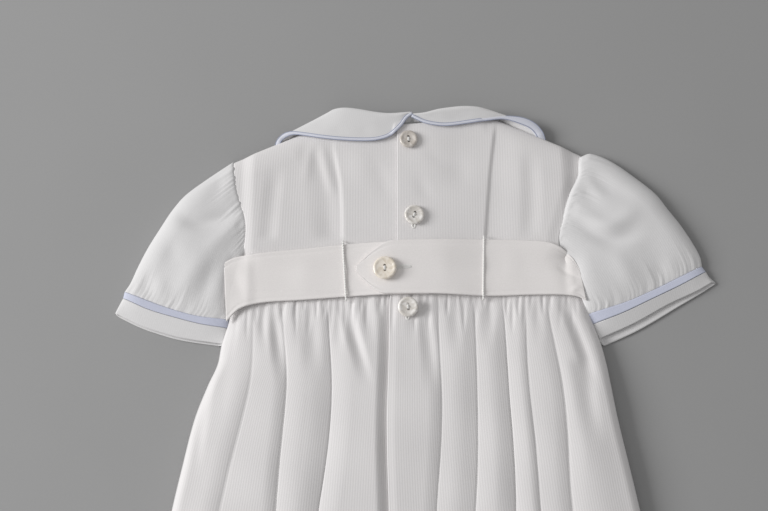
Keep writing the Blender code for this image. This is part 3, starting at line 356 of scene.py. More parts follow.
def foldShare(x, y):  # share of the crests' height that the folds leave
    kept = np.ones(np.shape(x))
    underBelt = beltEdge(x) - y
    for row in folds["rows"]:
        left, right, share, start, end = row[3:]
        above, below = folds["startFade"]
        grown = smooth(-start - above, -start + below, -y) if start < 0 else 1.0
        ended = smooth(end + folds["endFade"][0], end + folds["endFade"][1], y)
        softened = 1.0 - folds["softening"] * smooth(*folds["softenY"], -y)
        offset, held = x - foldX(row, y), grown * ended * softened
        if end < folds["longEnd"]:
            slopes = pressedFold(offset, left * folds["leftWide"], right * folds["rightWide"])
            dip = share * folds["depth"] * slopes
            notchWidth = folds["notchWidth"]
            crack = folds["notch"] * pressedFold(offset, notchWidth, notchWidth * folds["notchLean"])
            kept = kept * (1.0 - held * (dip + crack * share))
        else:
            leftWide, rightWide = folds["shortWide"]
            slopes = valley(offset, left * leftWide, right * rightWide)
            dip = share * folds["depth"] * folds["shortDepth"] * slopes
            kept = kept * (1.0 - held * dip)
    for pitch, shift, length, depth in folds["gathers"]:  # fine puckers, uneven in length and depth
        uneven = 0.55 + 0.45 * np.sin(x * 0.71 + pitch * 3.0 + 2.0 * np.sin(x * 0.19))
        reach = folds["gatherLength"] * length * (0.6 + 0.7 * uneven)
        fade = 1.0 - smooth(0.25, 1.0, underBelt / reach)
        place = (x + shift + 1.7 * np.sin(x * 0.23 + pitch) + 0.05 * underBelt) / pitch
        offset = (place - np.floor(place) - 0.5) * pitch
        width = folds["gatherWidth"] * pitch
        trough = valley(offset, width, width * 0.8)
        kept = kept * (1.0 - folds["gatherShare"] * depth * uneven * fade * trough)
    return kept


def lapX(y):
    return atHeight(body["lapEdge"], y, 1)


def abovePlacketEnd(reach, y):  # 0 to 1 over this reach round the placket's end
    return smooth(body["placketEndY"] + reach[0], body["placketEndY"] + reach[1], y)


def bodyBackZ(x, y, part):
    uneven = 1.0 + body["unevenness"] * ripple(x, y, body["unevenPitch"]) * smooth(6.0, 40.0, -y)
    height = crestRise(x, y) * foldShare(x, y) * uneven
    lapped = abovePlacketEnd(body["lapEnds"], y)
    edge = lapX(y)
    if part == "left":
        height = height * (1.0 - body["underPressed"] * lapped * smooth(edge - 7.5, edge - 0.5, x))
    else:
        height = height * (1.0 - body["lapPressed"] * lapped * (1.0 - smooth(edge, edge + 5.0, x)))
    side = sideDistance(x, y)
    height = height * (1.0 - body["sideLow"] * (1.0 - smooth(0.0, body["sideReach"], side)))
    z = body["frontZ"] + body["layer"] + height * rounded(side, body["skirtEdgeRound"])
    if part == "right":
        z = z + body["lapRise"] * lapped * lapShare(x)
    return z


def coverZ(x, y):  # smooth surface under the belt
    lap = smooth(-34.0, -9.0, x) * lapShare(x)
    rise = crestRise(x, np.maximum(y, beltEdge(x))) * rounded(sideDistance(x, y), body["edgeRound"])
    low = body["frontZ"] + body["layer"] + rise
    return np.where(y > body["waistY"], bodiceCover(x, y), low) + body["lapRise"] * lap


# belt
belt = {
    "air": 0.2,
    "wall": 1.1,
    "ledge": 5.4,          # height of the ends on the sleeves
    "ledgeLeftX": (-96, -82),
    "ledgeRightX": (84, 98),
    "stitchIn": 0.075,     # share of the belt's width
    "stitchWide": 0.02,
    "stitchDepth": 0.16,
    "swell": 0.12,
    "swellPitch": 27.0,
    # lower x and y, upper x and y
    "left": [(-107.2, -15.6, -109.4, 20), (-99.4, -8, -102.8, 23.2), (-86.2, -4.3, -89.4, 25.7),
             (-63.9, -2.8, -64.3, 28.1), (-37.4, -0.8, -39, 30.6), (-13, 0.4, -13.5, 32.2),
             (12, 0.6, 12, 32.4)],
    "right": [(-30.9, 15.6, -30.9, 17.6), (-28, 11.2, -27.4, 21), (-22.4, 5.6, -21.6, 26.4),
              (-15.6, 1.2, -13.4, 31.6), (-8, 0.6, -6, 32.8), (20, 0.6, 20, 33.4),
              (46, -0.3, 45, 33.7), (72.9, 0.5, 74, 33.2), (89, 0.6, 86.4, 31.4),
              (99.4, -0.4, 95.2, 26.4), (105, -2.8, 101.8, 16)],
    "creases": [
        (88, 18, 96, 13, 104, 10, 1.8, -0.5),
        (96, 2, 100, 5, 104, 3, 1.6, 0.5),
        (-104, 16, -100, 4, -98, -4, 4, -0.4),
        (60, 30, 62, 16, 60, 4, 6, 0.25),
        (-60, 24, -62, 12, -60, 2, 7, 0.25),
        (20, 28, 22, 16, 21, 6, 6, 0.2),
    ],
    "loopX": {"left": (-38.8, -36.9), "right": (45, 44.2)},
    "loopRadius": 0.36,
    "loopTwist": 2.6,
}


def higherOf(first, second):  # with a soft bend where they meet
    return (first ** 6 + second ** 6) ** (1.0 / 6.0)


def beltLeftZ(x, y):
    return higherOf(coverZ(x, y), belt["ledge"] * (1.0 - smooth(*belt["ledgeLeftX"], x)))


def beltRightZ(x, y):  # it lies on the left half near the middle
    under = body["underLapX"]
    low = higherOf(coverZ(x, y), belt["ledge"] * smooth(*belt["ledgeRightX"], x))
    return low + body["layer"] * (1.0 - smooth(under + 5.0, under + 56.0, x))


def lifted(surface, x, y, distance):  # points of a surface, moved out along its normal
    step = 0.5
    slopeX = (surface(x + step, y) - surface(x - step, y)) / (2 * step)
    slopeY = (surface(x, y + step) - surface(x, y - step)) / (2 * step)
    size = np.sqrt(slopeX ** 2 + slopeY ** 2 + 1.0)
    return x - slopeX / size * distance, y - slopeY / size * distance, surface(x, y) + distance / size


# materials
def shaderNodes(name, colour):
    made = bpy.data.materials.new(name)
    made.use_nodes = True
    made.diffuse_color = (*colour, 1.0)
    tree = made.node_tree
    return made, tree, tree.nodes["Principled BSDF"]


def mathNode(tree, operation, *values):
    node = tree.nodes.new("ShaderNodeMath")
    node.operation = operation
    for socket, value in zip(node.inputs, values):
        if hasattr(value, "is_linked"):
            tree.links.new(value, socket)
        else:
            socket.default_value = value
    return node.outputs[0]


def waveOf(tree, coordinate, pitch):  # 0 to 1, once for every pitch
    turn = mathNode(tree, "MULTIPLY", coordinate, 2 * math.pi / pitch)
    return mathNode(tree, "MULTIPLY_ADD", mathNode(tree, "SINE", turn), 0.5, 0.5)


def noiseOf(tree, vector, scale, detail=3.0, rough=0.5):
    node = tree.nodes.new("ShaderNodeTexNoise")
    node.inputs["Scale"].default_value = scale
    node.inputs["Detail"].default_value = detail
    node.inputs["Roughness"].default_value = rough
    tree.links.new(vector, node.inputs["Vector"])
    return node.outputs["Fac"]


def mixColour(tree, factor, first, second):
    node = tree.nodes.new("ShaderNodeMix")
    node.data_type = "RGBA"
    tree.links.new(factor, node.inputs["Factor"])
    for socket, value in ((node.inputs["A"], first), (node.inputs["B"], second)):
        if hasattr(value, "is_linked"):
            tree.links.new(value, socket)
        else:
            socket.default_value = (*value, 1.0)
    return node.outputs["Result"]


def multiplied(tree, *colours):
    made = colours[0]
    for colour in colours[1:]:
        node = tree.nodes.new("ShaderNodeMix")
        node.data_type = "RGBA"
        node.blend_type = "MULTIPLY"
        node.inputs["Factor"].default_value = 1.0
        tree.links.new(made, node.inputs["A"])
        tree.links.new(colour, node.inputs["B"])
        made = node.outputs["Result"]
    return made


def bumpOf(tree, height, distance, before=None):
    node = tree.nodes.new("ShaderNodeBump")
    node.inputs["Strength"].default_value = 1.0
    node.inputs["Distance"].default_value = distance
    tree.links.new(height, node.inputs["Height"])
    if before is not None:
        tree.links.new(before, node.inputs["Normal"])
    return node.outputs["Normal"]


def clothMaterial(name):
    look = {**everyCloth, **looks[name]}
    made, tree, shader = shaderNodes(name, look["colour"])
    place = tree.nodes.new("ShaderNodeTexCoord")
    weave = tree.nodes.new("ShaderNodeUVMap")
    weave.uv_map = "weave"
    split = tree.nodes.new("ShaderNodeSeparateXYZ")
    tree.links.new(weave.outputs["UV"], split.inputs[0])
    across, down = split.outputs[0], split.outputs[1]
    shade = noiseOf(tree, place.outputs["Object"], look["blotch"])
    fibre = noiseOf(tree, weave.outputs["UV"], look["slub"], 2.0)
    colourOut = mixColour(tree, shade, look["colour"], look["tint"])
    grain = noiseOf(tree, weave.outputs["UV"], look["grain"], 3.0, 0.7)
    grainShade = mixColour(tree, grain, look["grainLow"], look["grainHigh"])
    colourOut = multiplied(tree, colourOut, grainShade)
    swell = noiseOf(tree, place.outputs["Object"], look["swellScale"], 2.0)
    normal = bumpOf(tree, swell, look["swell"])
    if look["rib"]:
        rib = mathNode(tree, "POWER", waveOf(tree, across, look["rib"]), 0.6)
        # the grooves between the ribs are painted a little darker, as painted shade
        colourOut = mixColour(tree, rib, look["paintedGrooveShade"], colourOut)
        normal = bumpOf(tree, rib, look["ribDepth"], normal)
    warp, weft = waveOf(tree, across, look["thread"]), waveOf(tree, down, look["thread"])
    threads = mathNode(tree, "ADD", mathNode(tree, "MULTIPLY", warp, weft), fibre)
    normal = bumpOf(tree, threads, look["threadDepth"], normal)
    if look["speck"]:  # a few tiny dark flecks, as on a washed old garment
        dots = tree.nodes.new("ShaderNodeTexVoronoi")
        dots.inputs["Scale"].default_value = look["speck"]
        tree.links.new(place.outputs["Object"], dots.inputs["Vector"])
        chance = noiseOf(tree, dots.outputs["Position"], 61.0, 0.0)
        few = mathNode(tree, "GREATER_THAN", chance, look["speckShare"])
        small = mathNode(tree, "LESS_THAN", dots.outputs["Distance"], look["speckSize"] * look["speck"])
        flecks = mathNode(tree, "MULTIPLY", few, small)
        colourOut = mixColour(tree, flecks, colourOut, look["speckShade"])
    tree.links.new(colourOut, shader.inputs["Base Color"])
    tree.links.new(normal, shader.inputs["Normal"])
    rough = mathNode(tree, "MULTIPLY_ADD", fibre, look["roughVary"], look["rough"])
    tree.links.new(rough, shader.inputs["Roughness"])
    shader.inputs["Sheen Weight"].default_value = look["sheen"]
    shader.inputs["Sheen Roughness"].default_value = look["sheenRough"]
    shader.inputs["Specular IOR Level"].default_value = look["specular"]
    return made


everyCloth = {  # what a finish has where it says nothing else
    "rib": None, "ribDepth": 0.0, "paintedGrooveShade": None, "thread": 0.45, "threadDepth": 0.00004, "slub": 0.7,
    "blotch": 60.0, "swell": 0.00005, "swellScale": 55.0, "grain": 1.3, "grainLow": (0.90, 0.90, 0.90),
    "grainHigh": (1.10, 1.10, 1.10), "speck": None, "speckSize": 0.00042, "speckShare": 0.66,
    "speckShade": (0.45, 0.43, 0.41), "rough": 0.7, "roughVary": 0.15, "sheen": 0.25,
    "sheenRough": 0.45, "specular": 0.25,
}
looks = {
    # groove is the painted shade colour for the grooves between the ribs
    "ribbed cotton": {
        "colour": (0.808, 0.787, 0.785), "tint": (0.790, 0.768, 0.766), "paintedGrooveShade": (0.774, 0.753, 0.752),
        "rib": 1.65, "ribDepth": 0.000035, "thread": 0.42, "threadDepth": 0.00002, "slub": 0.5,
        "blotch": 22.0, "swell": 0.0001, "speck": 24.0, "rough": 0.75, "sheen": 0.2},
    "plain cotton": {
        "colour": (0.778, 0.768, 0.770), "tint": (0.762, 0.752, 0.754), "paintedGrooveShade": (0.748, 0.738, 0.740),
        "rib": 1.3, "ribDepth": 0.00002, "thread": 0.55, "slub": 0.6, "blotch": 18.0, "swell": 0.00012,
        "speck": 20.0},
    "belt cotton": {
        "colour": (0.885, 0.853, 0.842), "tint": (0.875, 0.840, 0.825), "thread": 0.5,
        "threadDepth": 0.00003, "slub": 0.35, "blotch": 16.0, "swell": 0.0001, "speck": 30.0,
        "rough": 0.65, "roughVary": 0.2, "sheen": 0.2},
    "blue cotton": {"colour": (0.635, 0.66, 0.785), "tint": (0.605, 0.63, 0.755)},
    "piping cotton": {"colour": (0.74, 0.755, 0.835), "tint": (0.70, 0.715, 0.80), "blotch": 90.0},
    # painted shade: the dark lines along both flanks of the piping, where the cord meets the cloth and on
    # its lower side
    "piping painted shade": {
        "colour": (0.40, 0.43, 0.54), "tint": (0.33, 0.36, 0.48), "thread": 0.6, "threadDepth": 0.00005,
        "slub": 0.9, "blotch": 90.0, "rough": 0.8, "roughVary": 0.1, "sheen": 0.1},
    "white thread": {
        "colour": (0.87, 0.86, 0.84), "tint": (0.84, 0.83, 0.81), "thread": 0.8, "threadDepth": 0.00006,
        "slub": 1.2, "roughVary": 0.1, "sheen": 0.2},
}
ribbedCotton = clothMaterial("ribbed cotton")
plainCotton = clothMaterial("plain cotton")
beltCotton = clothMaterial("belt cotton")
blueCotton = clothMaterial("blue cotton")
pipingCotton = clothMaterial("piping cotton")
# dark colour for the painted shade lines beside the piping
pipingPaintedShade = clothMaterial("piping painted shade")
whiteThread = clothMaterial("white thread")
print("materials made")


# making a sheet
def linked(name, bm, finish=None):  # the bmesh as an object in the scene
    mesh = bpy.data.meshes.new(name)
    bm.to_mesh(mesh)
    bm.free()
    if finish:
        mesh.materials.append(finish)
    made = bpy.data.objects.new(name, mesh)
    bpy.context.scene.collection.objects.link(made)
    return made


# place gives x, y and z for shares u and v, wide is the cloth's width where it is spread flat
def clothSheet(name, columns, rows, place, finish, wall, closed=False, leaveOut=None, wide=None):
    bm = bmesh.new()
    bmesh.ops.create_grid(bm, x_segments=columns, y_segments=rows, size=0.5)
    spots = np.array([vert.co[:] for vert in bm.verts])
    col = np.rint((spots[:, 0] + 0.5) * columns).astype(int)
    row = np.rint((spots[:, 1] + 0.5) * rows).astype(int)
    u, v = np.meshgrid(np.linspace(0.0, 1.0, columns + 1), np.linspace(0.0, 1.0, rows + 1))
    points = np.stack(np.broadcast_arrays(*place(u, v)), axis=-1)
    steps = np.linalg.norm(np.diff(points, axis=1), axis=2)
    across = np.concatenate([np.zeros((rows + 1, 1)), np.cumsum(steps, axis=1)], axis=1)
    if wide:  # every row has the same threads, so they crowd where the cloth is gathered
        across = across / across[:, -1:] * wide
    steps = np.linalg.norm(np.diff(points, axis=0), axis=2)
    down = np.concatenate([np.zeros((1, columns + 1)), np.cumsum(steps, axis=0)], axis=0)
    for vert, r, c in zip(bm.verts, row, col):
        vert.co = points[r, c] * mm
    layer = bm.loops.layers.uv.new("weave")
    bm.verts.index_update()
    for face in bm.faces:
        for loop in face.loops:
            r, c = row[loop.vert.index], col[loop.vert.index]
            loop[layer].uv = (across[r, c], down[r, c])
        face.smooth = True
    if leaveOut:
        gone = [face for face in bm.faces
                if leaveOut(np.mean([col[vert.index] for vert in face.verts]) / columns - 0.5,
                            np.mean([row[vert.index] for vert in face.verts]) / rows)]  # its middle
        bmesh.ops.delete(bm, geom=gone, context="FACES")
    if closed:
        bmesh.ops.remove_doubles(bm, verts=bm.verts, dist=1e-7)
    made = linked(name, bm, finish)
    if wall:
        solid = made.modifiers.new("wall", "SOLIDIFY")
        solid.thickness = wall * mm
        solid.offset = 0.0
    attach(made, "root")
    return made


def finishPiece(made, node):
    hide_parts(node)
    return made


def frontNeckY(x):
    share = np.minimum(1.0, np.abs(x - bodice["neckMiddleX"]) / bodice["neckHalf"])
    return bodice["frontNeckY"] + bodice["frontNeckDrop"] * share ** bodice["frontNeckPower"]


def backTopY(x):
    top = bodice["backTop"]
    straight = np.interp(x, [row[0] for row in top], [row[1] for row in top])
    neck = throughRows(top[1:-1], 0, 1, x)
    return np.where(np.abs(x - bodice["neckMiddleX"]) < bodice["neckHalf"], neck, straight)


def frontTopY(x):
    fromMiddle = x - bodice["neckMiddleX"]
    neck = frontNeckY(x) + bodice["frontNeckRight"] * smooth(30.0, bodice["neckHalf"], fromMiddle)
    return np.where(np.abs(fromMiddle) < bodice["neckHalf"], neck, backTopY(x))


def bodiceBack(part, inner):
    column = 1 if part == "left" else 2
    tipY = bodice["backTop"][0 if part == "left" else -1][1]

    def place(u, v):
        x = mix(inner, atHeight(bodice["sides"], mix(body["waistY"], tipY, v), column), u)
        topX = mix(inner, atHeight(bodice["sides"], tipY, column), u)
        y = mix(body["waistY"], backTopY(topX), v)
        return x, y, bodiceZ(x, y, part)
    made = clothSheet("bodice_back_%s_cloth" % part, 170, 160, place, ribbedCotton, body["wall"])
    return finishPiece(made, "bodice_back_" + part)


def bodiceFront():
    leftTip, rightTip = bodice["backTop"][0][1], bodice["backTop"][-1][1]

    def place(u, v):
        left = atHeight(bodice["sides"], mix(body["waistY"], leftTip, v), 1)
        right = atHeight(bodice["sides"], mix(body["waistY"], rightTip, v), 2)
        topLeft = atHeight(bodice["sides"], leftTip, 1)
        topRight = atHeight(bodice["sides"], rightTip, 2)
        x = mix(left, right, u)
        y = mix(body["waistY"], frontTopY(mix(topLeft, topRight, u)), v)
        return x, y, frontZ(x, y)
    made = clothSheet("bodice_front_cloth", 120, 60, place, ribbedCotton, body["wall"])
    return finishPiece(made, "bodice_front")


def legEdge(y):
    share = (y - body["hemY"]) / (body["crotchY"] - body["hemY"])
    gap = body["legGap"] * np.sqrt(np.clip(1.0 - share * share, 0.0, 1.0))
    return np.where(y >= body["crotchY"], 0.0, gap)


def innerEdge(part, y):
    if part == "right":
        return lapX(y) + legEdge(y)
    lapped = abovePlacketEnd(body["underEnds"], y)
    return mix(lapX(y) - body["seamGap"] - legEdge(y), body["underLapX"], lapped)


def foldLines(part, y):  # inner edge, long folds and side, from the middle out
    sign, column = (-1.0, 1) if part == "left" else (1.0, 2)
    rows = [row for row in folds["rows"]
            if row[7] < folds["longEnd"] and row[0] * sign > -lapX(3.0) * sign]
    rows.sort(key=lambda row: abs(row[1]))
    return [innerEdge(part, y)] + [foldX(row, y) for row in rows] + [atHeight(body["sides"], y, column)]


def bodyBack(part):
    heights = np.concatenate([np.linspace(2.7, -30.0, 46), np.linspace(-30.0, -130.0, 56)[1:],
                              np.linspace(-130.0, -330.0, 46)[1:]])
    start = np.array([float(line) for line in foldLines(part, 3.0)])
    lengths = np.abs(np.diff(start))
    counts = np.maximum(4, np.rint(lengths / lengths.sum() * 190)).astype(int)  # at least 4 per fold
    columns = int(counts.sum())
    places = np.concatenate([[0.0]] + [i + (np.arange(count) + 1) / count
                                       for i, count in enumerate(counts)])

    def place(u, v):
        y = spaced(heights, v)
        lines = np.stack([np.broadcast_to(line, y.shape) for line in foldLines(part, y)], axis=-1)
        along = spaced(places, u)
        i = np.clip(along.astype(int), 0, lines.shape[-1] - 2)
        first = np.take_along_axis(lines, i[..., None], axis=-1)[..., 0]
        second = np.take_along_axis(lines, i[..., None] + 1, axis=-1)[..., 0]
        x = mix(first, second, along - i)
        return x, y, bodyBackZ(x, y, part)
    made = clothSheet("body_back_%s_cloth" % part, columns, len(heights) - 1, place, ribbedCotton,
                      body["wall"], wide=body["threadsWide"])
    return finishPiece(made, "body_back_" + part)


def bodyFront():
    columns = 60
    crotchY, hemY = body["crotchY"], body["hemY"]
    heights = np.concatenate([np.linspace(2.7, crotchY, 80), np.linspace(crotchY, hemY, 16)[1:]])
    step = 1.0 / columns

    def place(u, v):
        y = spaced(heights, v)
        middle = u - 0.5
        outer = np.where(middle < 0, atHeight(body["sides"], y, 1), atHeight(body["sides"], y, 2))
        share = np.clip((np.abs(middle) - step) / (0.5 - step), 0.0, 1.0)
        nearNotch = 1.0 - smooth(crotchY, -250.0, y)
        inner = np.sign(middle) * mix(step * np.abs(outer), legEdge(y), nearNotch)
        x = np.where(np.abs(middle) < step / 2, 0.0, mix(inner, outer, share))
        return x, y, np.full(np.shape(x), body["frontZ"])

    def betweenLegs(middle, v):
        y = spaced(heights, v)
        return abs(middle) < step and y < crotchY
    made = clothSheet("body_front_cloth", columns, len(heights) - 1, place, ribbedCotton, body["wall"],
                      leaveOut=betweenLegs)
    return finishPiece(made, "body_front")


bodiceFrontCloth = bodiceFront()
bodiceLeftCloth = bodiceBack("left", body["underLapX"])
bodiceRightCloth = bodiceBack("right", bodice["lapX"])
bodyFrontCloth = bodyFront()
bodyLeftCloth = bodyBack("left")
bodyRightCloth = bodyBack("right")
print("bodice and body made")


# sleeves
sleeves = {
    "wall": 0.8,
    "bandWall": 0.9,
    "apart": 0.12,         # insertion and band from the line above them
    "edgeZ": 2.0,
    "puff": 4.4,
    "endRise": 3.1,
    "openRise": 0.5,       # at the open edge of the cuff
    "stripProud": 0.35,
    "topShare": 0.66,
    "tuckUnder": 1.8,      # the seam's turning, under the bodice's edge
    "tuckShare": 0.012,
    "tuckDrop": 0.8,
    "startRise": 5.4,
    "innerLift": 1.8,      # of the side by the body, at the shoulder
    "endLift": 1.2,
    "topRound": 12.0,      # how far in the side folds are round: top, creases, lower half, slip
    "creaseRound": 10.0,
    "underRound": 3.0,
    "slipRound": 2.5,
    "foldShare": 0.62,
    "roundShare": 0.15,    # how much of the swelling is spread over the whole width
    "innerSteep": 0.9,
    "gather": 0.20,
    "swell": 0.25,
    "swellPitch": 40.0,
    "left": {
        "outer": [(-107, 83.6), (-122.6, 72.4), (-134.4, 62.9), (-141.9, 53.5), (-148.7, 42.2),
                  (-155.4, 30.4), (-160.9, 18.7), (-165.2, 8.3), (-168.3, 3.3)],
        "inner": [(-97, 27), (-100, 23.4), (-104.6, 20.6), (-106.8, 15), (-107, 2),
                  (-106.4, -13.8)],
        "start": [(-107, 83.6), (-105.7, 75), (-103.8, 64.2), (-100.5, 54.1), (-98.1, 46.6),
                  (-97.7, 36.6), (-97, 27)],
        "end": [(-168.3, 3.3), (-154, -2.6), (-139.5, -7.8), (-124, -11.9), (-106.4, -13.8)],
        "strip": [(-169, -0.6), (-153.8, -7.6), (-138.3, -12.4), (-122, -16.6), (-107.2, -18.8)],
        "cuff": [(-173.2, -9.6), (-160.4, -16), (-151, -19.6), (-134.3, -24.4), (-109.4, -28.2)],
        "slip": [(0, -1.2), (0, -1.2)],
        "creases": [
            (-140, 51, -125, 44, -103, 51, 5, -3),
            (-109, 76.5, -113, 68, -120, 59.5, 6, -1.8),
            (-108, 66, -111, 63.5, -114, 61, 7.5, 1.4),
            (-99.5, 47, -111, 35, -121, 29, 4.8, 1.7),
            (-108.5, 31, -115, 16, -124.5, -6, 5.4, -1.9),
            (-120.5, 26, -130, 10, -137.5, -3, 6, 1.7),
            (-143, 34, -140, 26, -142, 17, 6, -1.5),
            (-151.5, 14, -155, 7, -153, -2, 4.5, -1.5),
            (-147, 10, -146.5, 4, -146, -1, 4.5, 1.1),
        ],
    },
    "right": {
        "outer": [(106.2, 88), (111.3, 89.6), (123.2, 84.8), (137.9, 74), (149.5, 63.9),
                  (156.8, 53.8), (163.6, 44.4), (170.7, 32.6), (174.4, 24.6), (175.2, 18.8)],
        "inner": [(89.8, 29.6), (92.8, 24.4), (98.6, 18), (101.2, 6), (103.4, -2), (105.8, -10.6)],
        "start": [(106.2, 88), (105, 82), (104.4, 74.6), (99.6, 64.2), (96.3, 54.1),
                  (94, 46), (91, 38), (89.8, 29.6)],
        "end": [(175.2, 18.8), (160.4, 11.3), (142.6, 2.6), (128.6, -3.4), (105.8, -10.6)],
        "strip": [(177.4, 15.6), (161.2, 6.9), (143.6, -1.6), (126.4, -9.8), (109.2, -16.4)],
        "cuff": [(180.4, 9.2), (171.8, 4.2), (154.4, -3.9), (133.4, -15.6), (112.6, -25)],
        "slip": [(4.4, 0.4), (1, -4.8)],
        "creases": [
            (96.5, 56, 118, 42.5, 138, 52, 5, 2.6),
            (99.5, 46, 120, 33.5, 138.5, 39, 5, -3),
            (104, 67.5, 109, 63, 115, 57.5, 5.4, -1.8),
            (108, 77, 122, 65, 137, 60, 5.4, -1.7),
            (105.5, 74, 111, 67.5, 117, 60, 4.2, 1.2),
            (140, 36, 146, 28, 151, 21, 9, -1.6),
            (122, 26, 129, 14, 136, 3, 6, 1.6),
            (145, 19, 151, 14, 157, 11, 5.4, -1.6),
            (153.5, 21, 156, 17, 157.5, 13, 4.5, 1.2),
        ],
    },
}


def coons(patch, u, v):  # a surface between four edge lines
    start, end = alongPoints(patch["start"], u), alongPoints(patch["end"], u)
    outer, inner = alongPoints(patch["outer"], v), alongPoints(patch["inner"], v)
    u, v = u[..., None], v[..., None]
    corners = [np.array(patch[name][k], float) for name, k in
               (("outer", 0), ("inner", 0), ("outer", -1), ("inner", -1))]
    corner = mix(mix(corners[0], corners[1], u), mix(corners[2], corners[3], u), v)
    return mix(start, end, v) + mix(outer, inner, u) - corner


# place for one flat tube: u once round it, over the top and back under it, v down the sleeve
def sleeveRing(patch, rise, creases=(), slip=((0.0, 0.0), (0.0, 0.0)), gathers=False):
    share = sleeves["topShare"]

    def place(u, v):
        onTop = u < share
        across = np.where(onTop, u / share, 1.0 - (u - share) / (1.0 - share))
        across = mix(across, (1.0 - np.cos(across * np.pi)) / 2, 0.55)
        point = coons(patch, across, v)
        edge = np.sin(np.pi * np.clip(across, 0.0, 1.0))
        width = np.linalg.norm(alongPoints(patch["outer"], v) - alongPoints(patch["inner"], v), axis=-1)
        inside = np.minimum(across, (1.0 - across) * sleeves["innerSteep"]) * width
        swell = mix(rounded(inside, sleeves["topRound"]), np.sqrt(np.maximum(0.0, edge)),
                    sleeves["roundShare"])
        x, y = point[..., 0], point[..., 1]
        relief = sleeves["foldShare"] * creased(creases, x, y) * smooth(0.0, 0.12, v)
        tuck = 0.0
        if gathers:
            run = across * width  # fine puckers at both ends, uneven in pitch and length
            fine = np.sin(run * 1.15 + 1.8 * np.sin(run * 0.27)) * (0.5 + 0.5 * np.sin(run * 0.21 + 1.0))
            fine = fine + 0.5 * np.sin(run * 2.3 + 1.0) * (0.5 + 0.5 * np.sin(run * 0.37 + 3.0))
            uneven = 0.10 * np.sin(run * 0.53)
            relief = relief + fine * sleeves["gather"] * (smooth(0.80 + uneven, 0.98, v)
                                                          + 1.0 - smooth(0.02, 0.20 + uneven, v))
            relief = relief + sleeves["swell"] * ripple(x, y, sleeves["swellPitch"]) * np.sin(np.pi * v)
            ahead = coons(patch, across, v + 0.02) - point
            ahead = ahead / np.maximum(1e-6, np.linalg.norm(ahead, axis=-1, keepdims=True))
            tuck = 1.0 - smooth(0.0, sleeves["tuckShare"], v)
            x = x - ahead[..., 0] * tuck * sleeves["tuckUnder"]
            y = y - ahead[..., 1] * tuck * sleeves["tuckUnder"]
        innerLift = sleeves["innerLift"] if gathers else 0.0
        lift = (sleeves["endLift"] + innerLift * (1.0 - v)) * smooth(0.5, 1.0, across)
        top = sleeves["edgeZ"] + lift + (rise(v) - lift - sleeves["tuckDrop"] * tuck) * swell
        top = top + relief * rounded(inside, sleeves["creaseRound"])
        low = mix(sleeves["edgeZ"] + lift, body["frontZ"], rounded(inside, sleeves["underRound"]))
        moved = v * rounded(inside, sleeves["slipRound"])
        inward = smooth(0.0, 0.5, across)
        x = np.where(onTop, x, x + mix(slip[0][0], slip[1][0], inward) * moved)
        y = np.where(onTop, y, y + mix(slip[0][1], slip[1][1], inward) * moved)
        return x, y, np.where(onTop, top, low)
    return place


def movedLine(line, towards, distance):  # each of its points this far towards another line
    goals = alongPoints(towards, np.linspace(0.0, 1.0, len(line)))
    line = np.array(line, float)
    return line + (goals - line) / np.linalg.norm(goals - line, axis=1)[:, None] * distance


def sleevePieces(part):
    shape = sleeves[part]

    def puff(v):
        ends = mix(sleeves["startRise"], sleeves["endRise"], v)
        return mix(ends, sleeves["puff"] + sleeves["endRise"], np.sin(np.pi * np.clip(v, 0, 1)) ** 0.8)

    def below(first, second):  # the strip of cloth between two of the sleeve's lines
        start = movedLine(shape[first], shape[second], sleeves["apart"])
        end = np.array(shape[second], float)
        return {"start": start, "end": end, "outer": [start[0], end[0]], "inner": [start[-1], end[-1]]}

    def stripRise(v):
        return sleeves["endRise"] + sleeves["stripProud"]

    def bandRise(v):
        return mix(sleeves["endRise"], sleeves["openRise"], v)

    sleeve = clothSheet("sleeve_%s_cloth" % part, 210, 110,
                        sleeveRing(shape, puff, shape["creases"], gathers=True), plainCotton,
                        sleeves["wall"], closed=True)
    finishPiece(sleeve, "sleeve_" + part)
    strip = clothSheet("sleeve_insertion_%s" % part, 160, 8,
                       sleeveRing(below("end", "strip"), stripRise), blueCotton,
                       sleeves["wall"], closed=True)
    finishPiece(strip, "sleeve_piping_" + part)
    band = clothSheet("sleeve_band_%s_cloth" % part, 160, 14,
                      sleeveRing(below("strip", "cuff"), bandRise, slip=shape["slip"]), plainCotton,
                      sleeves["bandWall"], closed=True)
    finishPiece(band, "sleeve_band_" + part)
    return sleeve, strip, band


sleeveLeft = sleevePieces("left")
sleeveRight = sleevePieces("right")
print("sleeves made")


